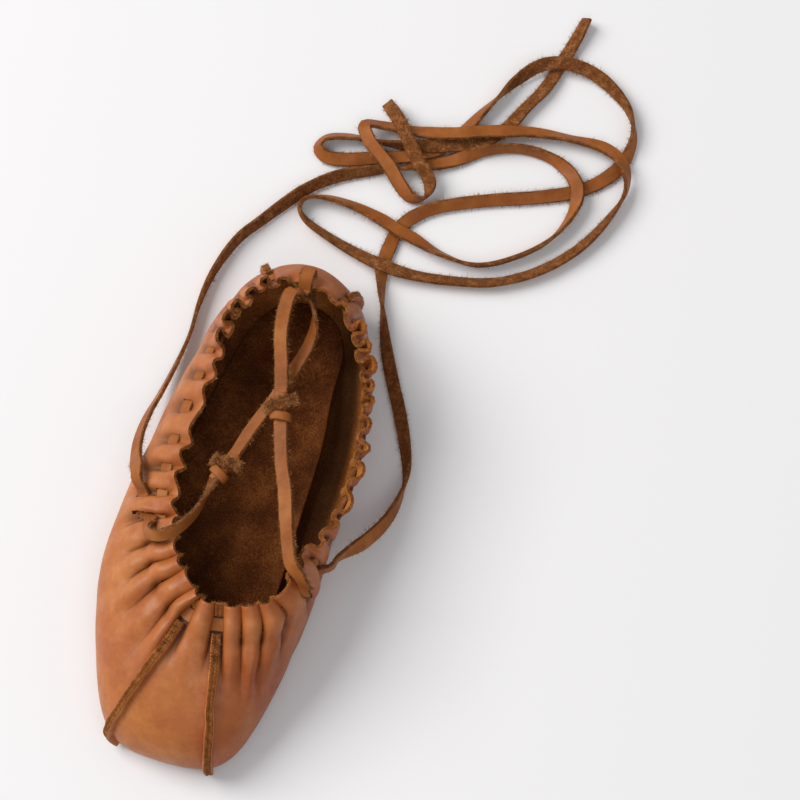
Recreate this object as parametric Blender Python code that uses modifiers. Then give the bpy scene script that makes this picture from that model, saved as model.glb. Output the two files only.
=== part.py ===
# Gathered folk-dance moccasin for the right foot: one leather piece on a flat drawstring, with long ties.
# Toe at -Y, heel at +Y, the inner side of the foot at +X, standing on Z = 0.
# Tables are in millimetres and degrees.
import math

import bmesh
import bpy
import numpy as np

MM = 0.001
OBJECT_NAME = "folk_dance_moccasin"

# Leather, lace and clearances
LEATHER = 2.0
STRAP_WIDTH = 6.5
STRAP_THICK = 1.6
GAP = 0.3
FRILL_HEIGHT = 10.0
LACE_SLIT_HALF = 3.9
STRAP_SLIT_TOP = 7.4
STRAP_SLIT_BOTTOM = 15.0
HEEL_SLIT_TOP = 7.0

# Gathers: the wall weaves this far to either side of the lace, and the frill a little further
WEAVE = LEATHER / 2 + STRAP_THICK / 2 + GAP
FRILL_WEAVE = 3.2
LOWER_ROWS = (0.66, 0.33)
SIDE_STEPS = 41
ROLL_DROP = 20.0
STRAP_FOLD_RUN = 10.0
RIDGE_CROWN = 1.3
VALLEY_HALF = 0.12
SEAM_VALLEY_HALF = 0.18
HEEL_VALLEY_HALF = 0.10
FLANK = 0.12
HEEL_FLANK = 0.10
HEEL_SLIT_INSET = 0.02

# Raised seams and footbed
SEAM_WIDTH = 4.2
SEAM_HEIGHT = 3.0
SEAM_START = 5.2
SEAM_BOW_LOW = 1.5
INSOLE_THICK = 1.5
INSOLE_INSET = 0.8
INSOLE_POINTS = 56

# One row for each rib round the foot, from the heel along the outer side to the toe and back.
# bulge: the widest point of the side; roll: from there in to the flat of the sole; lace: the lace line;
# crown: how far the side has turned over at the lace; lean: of the frill, inward;
# gathers: up to the next rib; fold: how far a gather runs down the side.
RIB_COLUMNS = (
    "bulge_x", "bulge_y", "bulge_z", "roll", "lace_x", "lace_y", "lace_z", "crown", "lean", "gathers", "fold",
)
RIBS = {
    "heel": (1.0, 122.5, 18, 10, 3.0, 112.5, 44, 34, 46, 1.5, 14),
    "heel_lateral": (-21, 114.5, 18, 10, -14.5, 105, 43, 34, 44, 3, 14),
    "back_lateral": (-36.5, 89, 17, 11, -28, 83, 41, 35, 42, 3, 14),
    "waist_lateral": (-44.5, 53, 16, 12, -33.5, 51, 37, 40, 43, 2, 13),
    "middle_lateral": (-50, 17, 16, 12, -35.8, 18, 35, 42, 43, 3, 13),
    "strap_lateral": (-53, -21, 16, 12, -30, -21, 38, 50, 48, 2, 22),
    "ball_lateral": (-52.3, -51, 14, 12, -20.5, -43, 42, 58, 52, 1, 30),
    "toe_lateral": (-40.8, -90.5, 11, 11, -12, -53.5, 44, 62, 56, 1, 32),
    "seam_lateral": (-21.5, -120.5, 8, 11, -4.0, -62, 45, 66, 60, 0.5, 34),
    "toe": (0, -124, 8, 11, 4.0, -64, 45.5, 68, 60, 0.5, 34),
    "seam_medial": (21.5, -121.5, 8, 11, 11.8, -63, 45, 66, 60, 2, 34),
    "toe_medial": (38, -96, 11, 11, 31, -56.5, 44, 60, 55, 2, 30),
    "strap_medial": (46.5, -39, 15, 12, 42, -33, 40, 45, 30, 3, 22),
    "middle_medial": (46.5, 3, 16, 12, 48.5, 3, 35, 25, -8, 3, 13),
    "waist_medial": (46, 46, 16, 12, 48.5, 43, 36, 20, -12, 4, 13),
    "back_medial": (39, 83, 17, 11, 39.5, 78, 40, 25, 5, 3, 14),
    "heel_medial": (24, 113, 18, 10, 21, 103.5, 43, 34, 38, 1.5, 14),
}
HEEL_PHASE = 0.5

# Middle of the shoe's box in the axes of the tables, which becomes the origin
ORIGIN = np.array((1.33, -1.4, 0.0))

# Routes of the straps: x, y, height and lean of the strap's width, 0 lying flat and 90 standing on edge
KNOT_SIZE = (13.0, 10.0, 8.4)
KNOT_ROUND = 2.6
KNOT_GAP = 0.75
# Each knot: x, y, height, heading from the heel strap to the tie, lean of the straps that meet it
KNOTS = {
    "knot_lateral": (-8.6, 10.8, 40.6, -111, 30),
    "knot_medial": (8.8, 44, 46.4, -74.6, 18),
}
HEEL_TO_MEDIAL = (
    (-2, 98, 55, 5),
    (-2, 81, 52, 8),
    (3, 64, 49, 14),
)
LATERAL_TO_HEEL = (
    (-2, 32, 41, 24),
    (4, 49, 41.6, 30),
    (9, 66, 42.2, 34),
    (12, 80, 43.5, 24),
    (9, 96, 45.6, 8),
)
LATERAL_OVER_COLLAR = (
    (-15, -8, 45, 62),
    (-18.5, -19, 50.5, 72),
    (-24, -28.5, 53.0, 76),
    (-32, -32.5, 48.5, 68),
    (-39.5, -31, 42, 56),
)
MEDIAL_OVER_COLLAR = (
    (17, 18, 44.5, 14),
    (21.5, 8, 45, 12),
    (28, -10, 48, 16),
    (32, -20, 52, 24),
    (37, -30, 55, 40),
    (44, -38, 53, 55),
    (51, -41, 45.5, 62),
    (53, -38.5, 37, 66),
)
# On the floor and down the side the height is above the strap's own resting height
LATERAL_TIE = (
    (-53, 8, 23.5, 60),
    (-55.5, 19, 17.5, 70),
    (-56, 32, 11, 78),
    (-54.5, 46, 5, 76),
    (-52.5, 63, 1.5, 72),
    (-51, 80, 0.3, 68),
    (-51.5, 96, 0.3, 62),
    (-50.5, 110, 0.3, 62),
    (-47.5, 123.5, 0.3, 66),
    (-42.5, 136.5, 0.3, 68),
    (-35, 147.5, 0.3, 66),
    (-27, 159, 0.3, 62),
    (-17, 171.5, 0.3, 54),
    (-4.5, 181.5, 0.3, 44),
    (10, 188.5, 0.3, 36),
    (25.5, 194.5, 0.3, 34),
    (44, 203.5, 0.3, 38),
    (61.5, 214.5, 0.3, 46),
    (78, 220.5, 0.3, 54),
    (94, 220, 0.3, 56),
    (106, 214, 3.4, 18),
    (112, 205.5, 4.2, 12),
    (112.5, 194.5, 1.2, 34),
    (106.5, 179, 0.3, 54),
    (92.5, 164.5, 0.3, 60),
    (74.5, 154.5, 0.3, 58),
    (55, 155, 0.8, 44),
    (40.5, 159, 2.6, 20),
    (31.5, 161, 3.6, 10),
    (21.5, 164.5, 2.6, 20),
    (6, 168, 0.6, 44),
    (-9, 168, 0.3, 60),
    (-17.5, 165, 0.3, 72),
    (-19, 159.5, 0.3, 78),
    (-14, 154, 0.3, 70),
    (-0.5, 148.5, 0.3, 58),
    (14.5, 144, 1.2, 36),
    (30, 140.5, 4, 10),
    (45, 140.5, 1.2, 34),
    (64, 143, 0.3, 54),
    (85.5, 148.5, 0.3, 60),
    (105, 160.5, 0.3, 62),
    (121, 178, 0.3, 62),
    (131, 198, 0.3, 56),
    (135, 214, 1.2, 34),
    (130.5, 225.5, 4.2, 12),
    (119.5, 232.5, 2.8, 18),
    (101, 233, 0.8, 44),
    (83, 231, 2.4, 24),
    (68, 227, 3.6, 10),
    (56.5, 223.5, 3.6, 8),
    (48, 219, 6, 8),
    (36, 215.5, 6, 10),
    (22.5, 214.5, 2, 30),
    (9.5, 213.5, 1.6, 36),
    (0.5, 210, 6, 20),
    (4.5, 202, 8, 10),
    (17.5, 192, 7.4, 6),
    (28, 183, 3.2, 20),
    (35, 180, 0.8, 46),
    (42.5, 182, 0.8, 48),
    (44, 188.5, 3.2, 20),
    (29, 202.5, 7.4, 6),
    (17, 216, 8, 8),
    (7.5, 225.5, 2.6, 20),
)
MEDIAL_TIE = (
    (62.5, 0, 15, 74),
    (69, 14, 9, 78),
    (71.5, 28, 4, 78),
    (71, 41.5, 1, 76),
    (65.5, 57, 0.3, 70),
    (58.5, 71.5, 0.3, 62),
    (51, 85.5, 0.3, 56),
    (44, 99.5, 0.3, 52),
    (38, 114, 0.3, 50),
    (32.5, 129, 0.3, 34),
    (29.5, 142, 0.3, 10),
    (30, 153, 0.3, 14),
    (31.5, 162.5, 0.3, 10),
    (35.5, 169, 0.3, 30),
    (44.5, 177, 0.3, 46),
    (60, 185, 0.3, 46),
    (76, 191.5, 0.3, 42),
    (94.5, 198.5, 0.3, 30),
    (111.5, 207, 0.3, 12),
    (123, 217, 0.3, 12),
    (130, 228.5, 0.3, 12),
    (131.5, 242.5, 0.3, 40),
    (125.5, 256, 0.3, 62),
    (113.5, 266, 0.6, 50),
    (100, 271.5, 1.8, 30),
    (86, 271.5, 3.6, 10),
    (76, 267.5, 1.8, 28),
    (66, 255.5, 0.5, 48),
    (59.5, 243.5, 0.3, 46),
    (53, 231.5, 0.3, 22),
    (47.5, 220.5, 0.3, 8),
    (40.5, 210.5, 0.3, 26),
    (28.5, 203, 0.3, 38),
    (12, 197, 0.3, 44),
    (-4.5, 190.5, 0.3, 54),
    (-14.5, 188.5, 0.3, 70),
    (-19.5, 192, 0.3, 78),
    (-17, 198, 0.3, 72),
    (-6.5, 202, 0.3, 52),
    (10, 204, 0.3, 40),
    (25.5, 207, 0.3, 36),
    (41.5, 211.5, 0.3, 34),
    (57, 218.5, 0.3, 26),
    (67.5, 228.5, 0.3, 8),
    (75, 243.5, 0.3, 26),
    (81.5, 256.5, 0.3, 20),
    (86, 273.5, 0.3, 6),
    (90.5, 290, 0.3, 26),
    (93.5, 305.5, 0.8, 52),
)
# Where a tie goes through the side: gathers from the entry valley, millimetres below the lace, stand-off
THROUGH_SIDE = (
    (-0.3, 11.0, 6.4),
    (-0.1, 11.2, 2.2),
    (0.04, 11.2, 0.0),
    (0.2, 11.2, -0.2),
    (0.5, 11.2, -0.2),
    (0.8, 11.2, -0.2),
    (0.96, 11.2, 0.0),
    (1.1, 11.2, 2.2),
    (1.3, 11.2, 6.4),
    (1.7, 11.4, 7.6),
)
# Where the heel strap turns through the heel: millimetres above the lace and stand-off
THROUGH_HEEL = (
    (5.4, -5.0),
    (5.45, 0.0),
    (5.5, 4.0),
    (7.0, 6.0),
    (9.4, 6.4),
    (12.0, 4.6),
    (12.6, 1.0),
    (12.6, -3.5),
)
STRAP_STEP = 14.0
TURN_STEP = 2.2
STRAP_TURN = 0.42

# Colour and roughness of each material
COLOURS = {
    "tan_leather": ((0.42, 0.17, 0.065), 0.5),
    "brown_suede": ((0.13, 0.065, 0.028), 0.9),
    "raw_edge": ((0.19, 0.09, 0.038), 0.85),
    "strap_leather": ((0.38, 0.15, 0.06), 0.6),
}


# Splines through the rib table and along the strap routes
names = list(RIBS)
table = np.array([RIBS[name] for name in names], float)
column = {name: table[:, i] for i, name in enumerate(RIB_COLUMNS)}
bulge_ring = np.stack([column["bulge_x"], column["bulge_y"], column["bulge_z"]], 1)
lace_ring = np.stack([column["lace_x"], column["lace_y"], column["lace_z"]], 1)
rib_step = sum(np.linalg.norm(np.roll(ring, -1, 0) - ring, axis=1) for ring in (bulge_ring, lace_ring)) / 2
rib_at = np.concatenate([[0], np.cumsum(rib_step)])
around = rib_at[-1]


def ring_spline(values, r):
    """A smooth closed curve through one value for each rib, read at the distances r round the foot."""
    count = len(values)
    index = np.arange(count)
    before = np.roll(rib_step, 1)
    system = np.zeros((count, count))
    system[index, index] = 2 * (rib_step + before)
    system[index, index - 1] = before
    system[index, (index + 1) % count] = rib_step
    flat = values.reshape(count, -1)
    slope = (np.roll(flat, -1, 0) - flat) / rib_step[:, None]
    bend = np.linalg.solve(system, 6 * (slope - np.roll(slope, 1, 0)))
    r = np.asarray(r, float)
    turned = r.ravel() % around
    i = np.clip(np.searchsorted(rib_at, turned, side="right") - 1, 0, count - 1)
    j = (i + 1) % count
    step = rib_step[i][:, None]
    t = (turned - rib_at[i])[:, None] / step
    s = 1 - t
    curve = s * flat[i] + t * flat[j] + ((s**3 - s) * bend[i] + (t**3 - t) * bend[j]) * step**2 / 6
    return curve.reshape(r.shape + values.shape[1:])


rib_phase = HEEL_PHASE + np.concatenate([[0], np.cumsum(column["gathers"])[:-1]])
gather_count = int(round(column["gathers"].sum()))
fine_r = np.linspace(-0.1 * around, 1.1 * around, 6001)
even_phase = gather_count * rib_at[:-1] / around
fine_phase = gather_count * fine_r / around + ring_spline(rib_phase - even_phase, fine_r)
phase_of = dict(zip(names, rib_phase))


def r_of_phase(phase):
    return np.interp(phase, fine_phase, fine_r)


def inward(ring, r):
    """Unit plan direction from a ring towards the middle of the foot."""
    along = (ring_spline(ring, r + 0.01) - ring_spline(ring, r - 0.01))[..., :2]
    along /= np.linalg.norm(along, axis=-1, keepdims=True)
    return np.stack([-along[..., 1], along[..., 0]], -1)


def smooth_surface(r, v):
    """Middle of the smooth leather: v 0 to 1 rolls up from the sole, 1 to 2 is the side, over 2 the frill."""
    r, v = np.broadcast_arrays(np.asarray(r, float), np.asarray(v, float))
    bulge = ring_spline(bulge_ring, r)
    lace = ring_spline(lace_ring, r)
    turn = np.radians(ring_spline(column["crown"], r))
    lean = np.radians(ring_spline(column["lean"], r))
    sole = bulge[..., :2] + inward(bulge_ring, r) * ring_spline(column["roll"], r)[..., None]
    a = np.clip(v, 0, 1) * math.pi / 2
    s = np.clip(v - 1, 0, 1) * turn
    c = np.clip(v - 2, 0, None) * FRILL_HEIGHT
    over = ((1 - np.cos(s)) / (1 - np.cos(turn)))[..., None]
    up = np.sin(s) / np.sin(turn)
    plan = sole + (bulge[..., :2] - sole) * np.sin(a)[..., None] + (lace[..., :2] - bulge[..., :2]) * over
    plan = plan + inward(lace_ring, r) * (np.sin(lean) * c)[..., None]
    low = LEATHER / 2
    z = low + (bulge[..., 2] - low) * (1 - np.cos(a)) + (lace[..., 2] - bulge[..., 2]) * up + np.cos(lean) * c
    return np.concatenate([plan, z[..., None]], -1)


def directions(r, v):
    """Unit outward normal and unit direction up the side."""
    along = smooth_surface(r + 0.4, v) - smooth_surface(r - 0.4, v)
    rise = smooth_surface(r, v + 0.02) - smooth_surface(r, np.maximum(v - 0.02, 0))
    out = np.cross(along, rise)
    out /= np.linalg.norm(out, axis=-1, keepdims=True)
    out = np.where((v < 0.001)[..., None], (0.0, 0.0, -1.0), out)
    return out, rise / np.linalg.norm(rise, axis=-1, keepdims=True)


def side_lengths(r):
    """Millimetres down the side from the lace line to the bulge, at even steps of v."""
    levels = np.linspace(2, 1, SIDE_STEPS)
    rows = smooth_surface(r[:, None], levels[None, :])
    steps = np.linalg.norm(np.diff(rows, axis=1), axis=2)
    return levels, np.concatenate([np.zeros((len(r), 1)), np.cumsum(steps, axis=1)], 1)


def v_of_drop(r, drop):
    """Where on the side a point drop millimetres below the lace line lies, or above it if negative."""
    r, drop = np.broadcast_arrays(np.asarray(r, float), np.asarray(drop, float))
    levels, lengths = side_lengths(r.ravel())
    side = [np.interp(d, length, levels) for d, length in zip(drop.ravel(), lengths)]
    return np.where(drop < 0, 2 - drop / FRILL_HEIGHT, np.reshape(side, r.shape))


def drop_of_v(r, v):
    """The other way round, with the roll under the foot counted on as ROLL_DROP."""
    levels, lengths = side_lengths(r)
    side = [np.interp(level, levels[::-1], length[::-1]) for level, length in zip(v, lengths)]
    return np.array(side) + np.clip(1 - v, 0, 1) * ROLL_DROP


def strap_hold(phase):
    """1 at the two pleats that a tie goes under and at the valleys beside them, 0 elsewhere."""
    pleats = (phase_of["strap_lateral"] - 0.5, phase_of["strap_medial"] + 0.5)
    return sum(np.clip((0.85 - np.abs(phase - pleat)) / 0.2, 0, 1) for pleat in pleats)


def fold_depth(phase, drop):
    """How far a gather stands off the smooth side."""
    held = strap_hold(phase)
    run = ring_spline(column["fold"], r_of_phase(phase)) * (1 - held) + STRAP_FOLD_RUN * held
    hold = LACE_SLIT_HALF + (STRAP_SLIT_BOTTOM + GAP - LACE_SLIT_HALF) * held
    fade = np.clip((drop - hold) / run, 0, 1)
    above = np.clip((-drop - LACE_SLIT_HALF) / (FRILL_HEIGHT - LACE_SLIT_HALF), 0, 1)
    return WEAVE * (0.5 + 0.5 * np.cos(math.pi * fade)) + (FRILL_WEAVE - WEAVE) * above


# Columns of the upper: phase, side of the lace (-1 valley, 1 ridge, over 1 the crown of a ridge)
seam_valleys = [int(phase_of[name]) for name in names if name.startswith(("seam", "heel_"))]


def valley_half(k):
    k %= gather_count
    if k in seam_valleys:
        return SEAM_VALLEY_HALF
    return HEEL_VALLEY_HALF if k in (0, 1) else VALLEY_HALF


def gather_columns():
    rows = []
    for k in range(gather_count):
        flank = HEEL_FLANK if k == 0 else FLANK
        first, last = k + valley_half(k), k + 1 - valley_half(k + 1)
        rows += [(first, -1), (first + flank, 1)]
        if k == 0:
            rows += [(first + flank + HEEL_SLIT_INSET, 1), (k + 0.5, 1), (last - flank - HEEL_SLIT_INSET, 1)]
        else:
            rows += [(k + 0.5, RIDGE_CROWN)]
        rows += [(last - flank, 1), (last, -1)]
    return np.array(rows).T


def surface_rows(phase):
    """The v of each row of the upper from the raw edge to the sole, and its drop below the lace line."""
    r = r_of_phase(phase)
    above = (-FRILL_HEIGHT, -HEEL_SLIT_TOP, -LACE_SLIT_HALF)
    drops = above + (LACE_SLIT_HALF, STRAP_SLIT_TOP, STRAP_SLIT_BOTTOM)
    v = [v_of_drop(r, drop) for drop in drops]
    lowest = v[-1]
    v += [1 + (lowest - 1) * share for share in LOWER_ROWS]
    v += [np.ones_like(r), np.full_like(r, 0.5), np.zeros_like(r)]
    drop = [np.full_like(r, d) for d in drops] + [drop_of_v(r, level) for level in v[len(drops):]]
    return r, np.array(v), np.array(drop)


# Solids between two sheets of points
objects = []


def add_object(name, mesh_or_curve, material):
    obj = bpy.data.objects.new(name, mesh_or_curve)
    colour, roughness = COLOURS[material]
    slot = bpy.data.materials.new(f"{name}_{material}")
    slot.use_nodes = True
    shader = slot.node_tree.nodes["Principled BSDF"]
    shader.inputs["Base Color"].default_value = (*colour, 1.0)
    shader.inputs["Roughness"].default_value = roughness
    mesh_or_curve.materials.append(slot)
    objects.append(obj)
    return obj


def solid_between(name, outer, inner, material, keep=None, ring=False, floor=False):
    """Closes two sheets of points, rows by columns, into one solid; cells not kept become holes."""
    rows, columns = outer.shape[:2]
    cells = columns if ring else columns - 1
    if keep is None:
        keep = np.ones((rows - 1, cells), bool)
    work = bmesh.new()
    sheets = [[[work.verts.new((p - ORIGIN) * MM) for p in row] for row in sheet] for sheet in (outer, inner)]
    for i in range(rows - 1):
        for j in range(cells):
            if not keep[i, j]:
                continue
            k = (j + 1) % columns
            corners = ((i, j), (i + 1, j), (i + 1, k), (i, k))
            work.faces.new([sheets[0][a][b] for a, b in corners])
            work.faces.new([sheets[1][a][b] for a, b in reversed(corners)])
            edges = (
                ((i - 1, j), (i, k), (i, j)),
                ((i + 1, j), (i + 1, j), (i + 1, k)),
                ((i, j - 1), (i, j), (i + 1, j)),
                ((i, j + 1), (i + 1, k), (i, k)),
            )
            for (a, b), start, end in edges:
                if ring:
                    b %= cells
                if floor and a == rows - 1:
                    continue
                if 0 <= a < rows - 1 and 0 <= b < cells and keep[a, b]:
                    continue
                start_out, end_out = (sheets[0][p][q] for p, q in (start, end))
                start_in, end_in = (sheets[1][p][q] for p, q in (start, end))
                work.faces.new((end_out, start_out, start_in, end_in))
    if floor:
        work.faces.new(list(reversed(sheets[0][-1])))
        work.faces.new(sheets[1][-1])
    mesh = bpy.data.meshes.new(name)
    work.to_mesh(mesh)
    work.free()
    return add_object(name, mesh, material)


def gathered(phase, side, v, drop, stand_off):
    """Points stand_off from the middle of the gathered leather, along the normal of the smooth side."""
    r = r_of_phase(phase)
    out, _ = directions(r, v)
    away = side * fold_depth(phase, drop) + stand_off
    return smooth_surface(r, v) + out * np.broadcast_to(away, v.shape)[..., None]


def build_upper():
    phase, side = gather_columns()
    r, v, drop = surface_rows(phase)
    wide = np.broadcast_to(phase, v.shape)
    outer = gathered(wide, side, v, drop, LEATHER / 2)
    inner = gathered(wide, side, v, drop, -LEATHER / 2)
    after = np.roll(side, -1)
    keep = np.ones((len(v) - 1, len(phase)), bool)
    flanks = side * after < 0
    keep[2, flanks] = False
    gather = np.floor(phase).astype(int)
    tied = (gather == phase_of["strap_lateral"] - 1) | (gather == phase_of["strap_medial"])
    keep[4, flanks & tied] = False
    first, last = valley_half(0) + HEEL_FLANK, 1 - valley_half(1) - HEEL_FLANK
    keep[1, (phase > first + HEEL_SLIT_INSET / 2) & (phase < last - HEEL_SLIT_INSET * 1.5)] = False
    return solid_between("upper_and_sole", outer, inner, "tan_leather", keep, ring=True, floor=True)


def build_drawstring():
    phase, side = gather_columns()
    phase = phase[np.abs(side) == 1]
    r = r_of_phase(phase)
    v = np.array([v_of_drop(r, drop) for drop in (-STRAP_WIDTH / 2, STRAP_WIDTH / 2)])
    out, _ = directions(np.broadcast_to(r, v.shape), v)
    middle = smooth_surface(np.broadcast_to(r, v.shape), v)
    half = out * STRAP_THICK / 2
    return solid_between("drawstring", middle + half, middle - half, "strap_leather", ring=True)


def build_seam(name, rib, end, bow):
    """A raised seam from a rib's valley under the lace down to v = end, bowed sideways by bow millimetres."""
    phase = np.array([phase_of[rib]])
    r, v, drop = surface_rows(phase)
    inside = v[:, 0] > end
    v = np.concatenate([v_of_drop(r, SEAM_START), v[4:][inside[4:], 0], [end]])
    drop = np.concatenate([[SEAM_START], drop[4:][inside[4:], 0], drop[-1]])
    centre = np.full_like(v, r[0])
    stretch = np.linalg.norm(smooth_surface(centre + 0.5, v) - smooth_surface(centre - 0.5, v), axis=1)
    down = (v[0] - v) / (v[0] - v[-1])
    centre = centre + bow * np.sin(math.pi * down**SEAM_BOW_LOW) / stretch
    wide = np.stack([centre - SEAM_WIDTH / 2 / stretch, centre + SEAM_WIDTH / 2 / stretch], 1)
    tall = np.stack([v, v], 1)
    out, _ = directions(wide, tall)
    depth = fold_depth(np.full_like(v, phase[0]), drop)
    foot = smooth_surface(wide, tall) + out * (LEATHER / 2 + GAP - depth)[:, None, None]
    return solid_between(name, foot + out * SEAM_HEIGHT, foot, "raw_edge")


def build_insole():
    r = np.linspace(0, around, INSOLE_POINTS, endpoint=False)
    outline = smooth_surface(r, np.zeros_like(r))[:, :2] + inward(bulge_ring, r) * INSOLE_INSET
    curve = bpy.data.curves.new("insole", "CURVE")
    curve.dimensions = "2D"
    curve.fill_mode = "BOTH"
    curve.extrude = INSOLE_THICK / 2 * MM
    spline = curve.splines.new("POLY")
    spline.points.add(INSOLE_POINTS - 1)
    for point, (x, y) in zip(spline.points, outline - ORIGIN[:2]):
        point.co = (x * MM, y * MM, 0, 1)
    spline.use_cyclic_u = True
    obj = add_object("insole", curve, "brown_suede")
    obj.location.z = (LEATHER + GAP + INSOLE_THICK / 2) * MM
    return obj


# Straps: a flat profile carried along a smooth curve
def unit(vectors):
    return vectors / np.linalg.norm(vectors, axis=-1, keepdims=True)


def free_rows(rows, resting=False):
    """Points and width directions of hand-placed rows; resting adds the height of a strap that leans."""
    rows = np.array(rows, float)
    points = rows[:, :3].copy()
    lean = np.radians(rows[:, 3])
    if resting:
        points[:, 2] += STRAP_WIDTH / 2 * np.sin(lean) + STRAP_THICK / 2 * np.cos(lean)
    along = unit(np.gradient(points, axis=0))
    level = unit(np.stack([-along[:, 1], along[:, 0], np.zeros(len(rows))], 1))
    raised = np.cross(along, level)
    return points, level * np.cos(lean)[:, None] + raised * np.sin(lean)[:, None]


def side_rows(entry, way):
    """Points and width directions where a tie passes under the pleat next to its entry valley."""
    steps, drop, off = np.array(THROUGH_SIDE).T
    r = r_of_phase(entry + way * steps)
    v = v_of_drop(r, drop)
    out, rise = directions(r, v)
    return smooth_surface(r, v) + out * off[:, None], rise


def heel_rows():
    """Points and width directions where the heel strap turns through the heel."""
    height, off = np.array(THROUGH_HEEL).T
    r = np.full(len(height), r_of_phase(HEEL_PHASE))
    v = v_of_drop(r, -height)
    out, rise = directions(r, v)
    return smooth_surface(r, v) + out * off[:, None], np.cross(out, rise)


def join_rows(*parts):
    points = np.concatenate([part[0] for part in parts])
    width = np.concatenate([part[1] for part in parts])
    for i in range(1, len(width)):
        if np.dot(width[i], width[i - 1]) < 0:
            width[i] = -width[i]
    return points, width


def blend(at, points, i, k, t):
    """The straight blend of two neighbouring rows of the smooth curve."""
    return ((at[k] - t) * points[0] + (t - at[i]) * points[1]) / (at[k] - at[i])


def along_curve(points, width):
    """The route as a smooth curve: closely spaced in turns and further apart on the straight."""
    stacked = np.concatenate([points, width], 1)
    knots = np.concatenate([[0], np.cumsum(np.sqrt(np.linalg.norm(np.diff(points, axis=0), axis=1)))])
    ends = (2 * stacked[0] - stacked[1], 2 * stacked[-1] - stacked[-2])
    padded = np.concatenate([ends[:1], stacked, ends[1:]])
    at = np.concatenate([[2 * knots[0] - knots[1]], knots, [2 * knots[-1] - knots[-2]]])
    fine = []
    for i in range(1, len(padded) - 2):
        t = np.linspace(at[i], at[i + 1], 24, endpoint=i == len(padded) - 3)[:, None]
        first = [blend(at, padded[k - 1:], k - 1, k, t) for k in (i, i + 1, i + 2)]
        second = [blend(at, first[k:], i - 1 + k, i + 1 + k, t) for k in (0, 1)]
        fine.append(blend(at, second, i, i + 1, t))
    fine = np.concatenate(fine)
    ahead = unit(np.gradient(fine[:, :3], axis=0))
    run = np.linalg.norm(np.diff(fine[:, :3], axis=0), axis=1)
    turn = np.linalg.norm(np.diff(ahead, axis=0), axis=1)
    steps = np.maximum(run / STRAP_STEP, np.minimum(run / TURN_STEP, turn / STRAP_TURN))
    cost = np.concatenate([[0], np.cumsum(steps)])
    count = int(math.ceil(cost[-1]))
    wanted = np.linspace(0, cost[-1], count + 1)
    picked = np.stack([np.interp(wanted, cost, fine[:, i]) for i in range(6)], 1)
    return picked[:, :3], picked[:, 3:]


def build_strap(name, *parts):
    points, width = along_curve(*join_rows(*parts))
    ahead = unit(np.gradient(points, axis=0))
    width = unit(width - ahead * np.sum(width * ahead, 1, keepdims=True))
    face = np.cross(ahead, width)
    edges = np.stack([points + width * STRAP_WIDTH / 2, points - width * STRAP_WIDTH / 2])
    half = face * STRAP_THICK / 2
    return solid_between(name, edges + half, edges - half, "strap_leather")


def knot_row(name, way):
    """The row where a strap meets a knot: way 1 for the tie, -1 for the heel strap."""
    x, y, z, heading, lean = KNOTS[name]
    reach = way * (KNOT_SIZE[0] / 2 + KNOT_GAP)
    turn = math.radians(heading)
    return ((x + reach * math.cos(turn), y + reach * math.sin(turn), z, lean),)


def build_knot(name):
    mesh = bpy.data.meshes.new(name)
    work = bmesh.new()
    bmesh.ops.create_cube(work, size=MM)
    bmesh.ops.scale(work, vec=KNOT_SIZE, verts=work.verts)
    work.to_mesh(mesh)
    work.free()
    obj = add_object(name, mesh, "strap_leather")
    x, y, z, heading, _ = KNOTS[name]
    obj.location = (np.array((x, y, z)) - ORIGIN) * MM
    obj.rotation_euler.z = math.radians(heading)
    rounding = obj.modifiers.new("round", "BEVEL")
    rounding.width = KNOT_ROUND * MM
    rounding.segments = 2
    return obj


def clear_scene():
    for obj in list(bpy.data.objects):
        bpy.data.objects.remove(obj)


def collect():
    collection = bpy.data.collections.new(OBJECT_NAME)
    bpy.context.scene.collection.children.link(collection)
    for obj in objects:
        collection.objects.link(obj)


clear_scene()
build_upper()
build_insole()
build_drawstring()
build_seam("toe_seam_lateral", "seam_lateral", 0.7, -4.5)
build_seam("toe_seam_medial", "seam_medial", 0.7, 0.8)
build_seam("heel_seam_lateral", "heel_lateral", 0.75, 0)
build_seam("heel_seam_medial", "heel_medial", 0.75, 0)
build_knot("knot_lateral")
build_knot("knot_medial")
build_strap(
    "heel_strap",
    free_rows(knot_row("knot_lateral", -1) + LATERAL_TO_HEEL),
    heel_rows(),
    free_rows(HEEL_TO_MEDIAL + knot_row("knot_medial", -1)),
)
build_strap(
    "tie_lateral",
    free_rows(knot_row("knot_lateral", 1) + LATERAL_OVER_COLLAR),
    side_rows(phase_of["strap_lateral"], -1),
    free_rows(LATERAL_TIE, True),
)
build_strap(
    "tie_medial",
    free_rows(knot_row("knot_medial", 1) + MEDIAL_OVER_COLLAR),
    side_rows(phase_of["strap_medial"], 1),
    free_rows(MEDIAL_TIE, True),
)
collect()
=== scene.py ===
import math

import bpy
import numpy as np
from mathutils import Matrix


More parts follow.
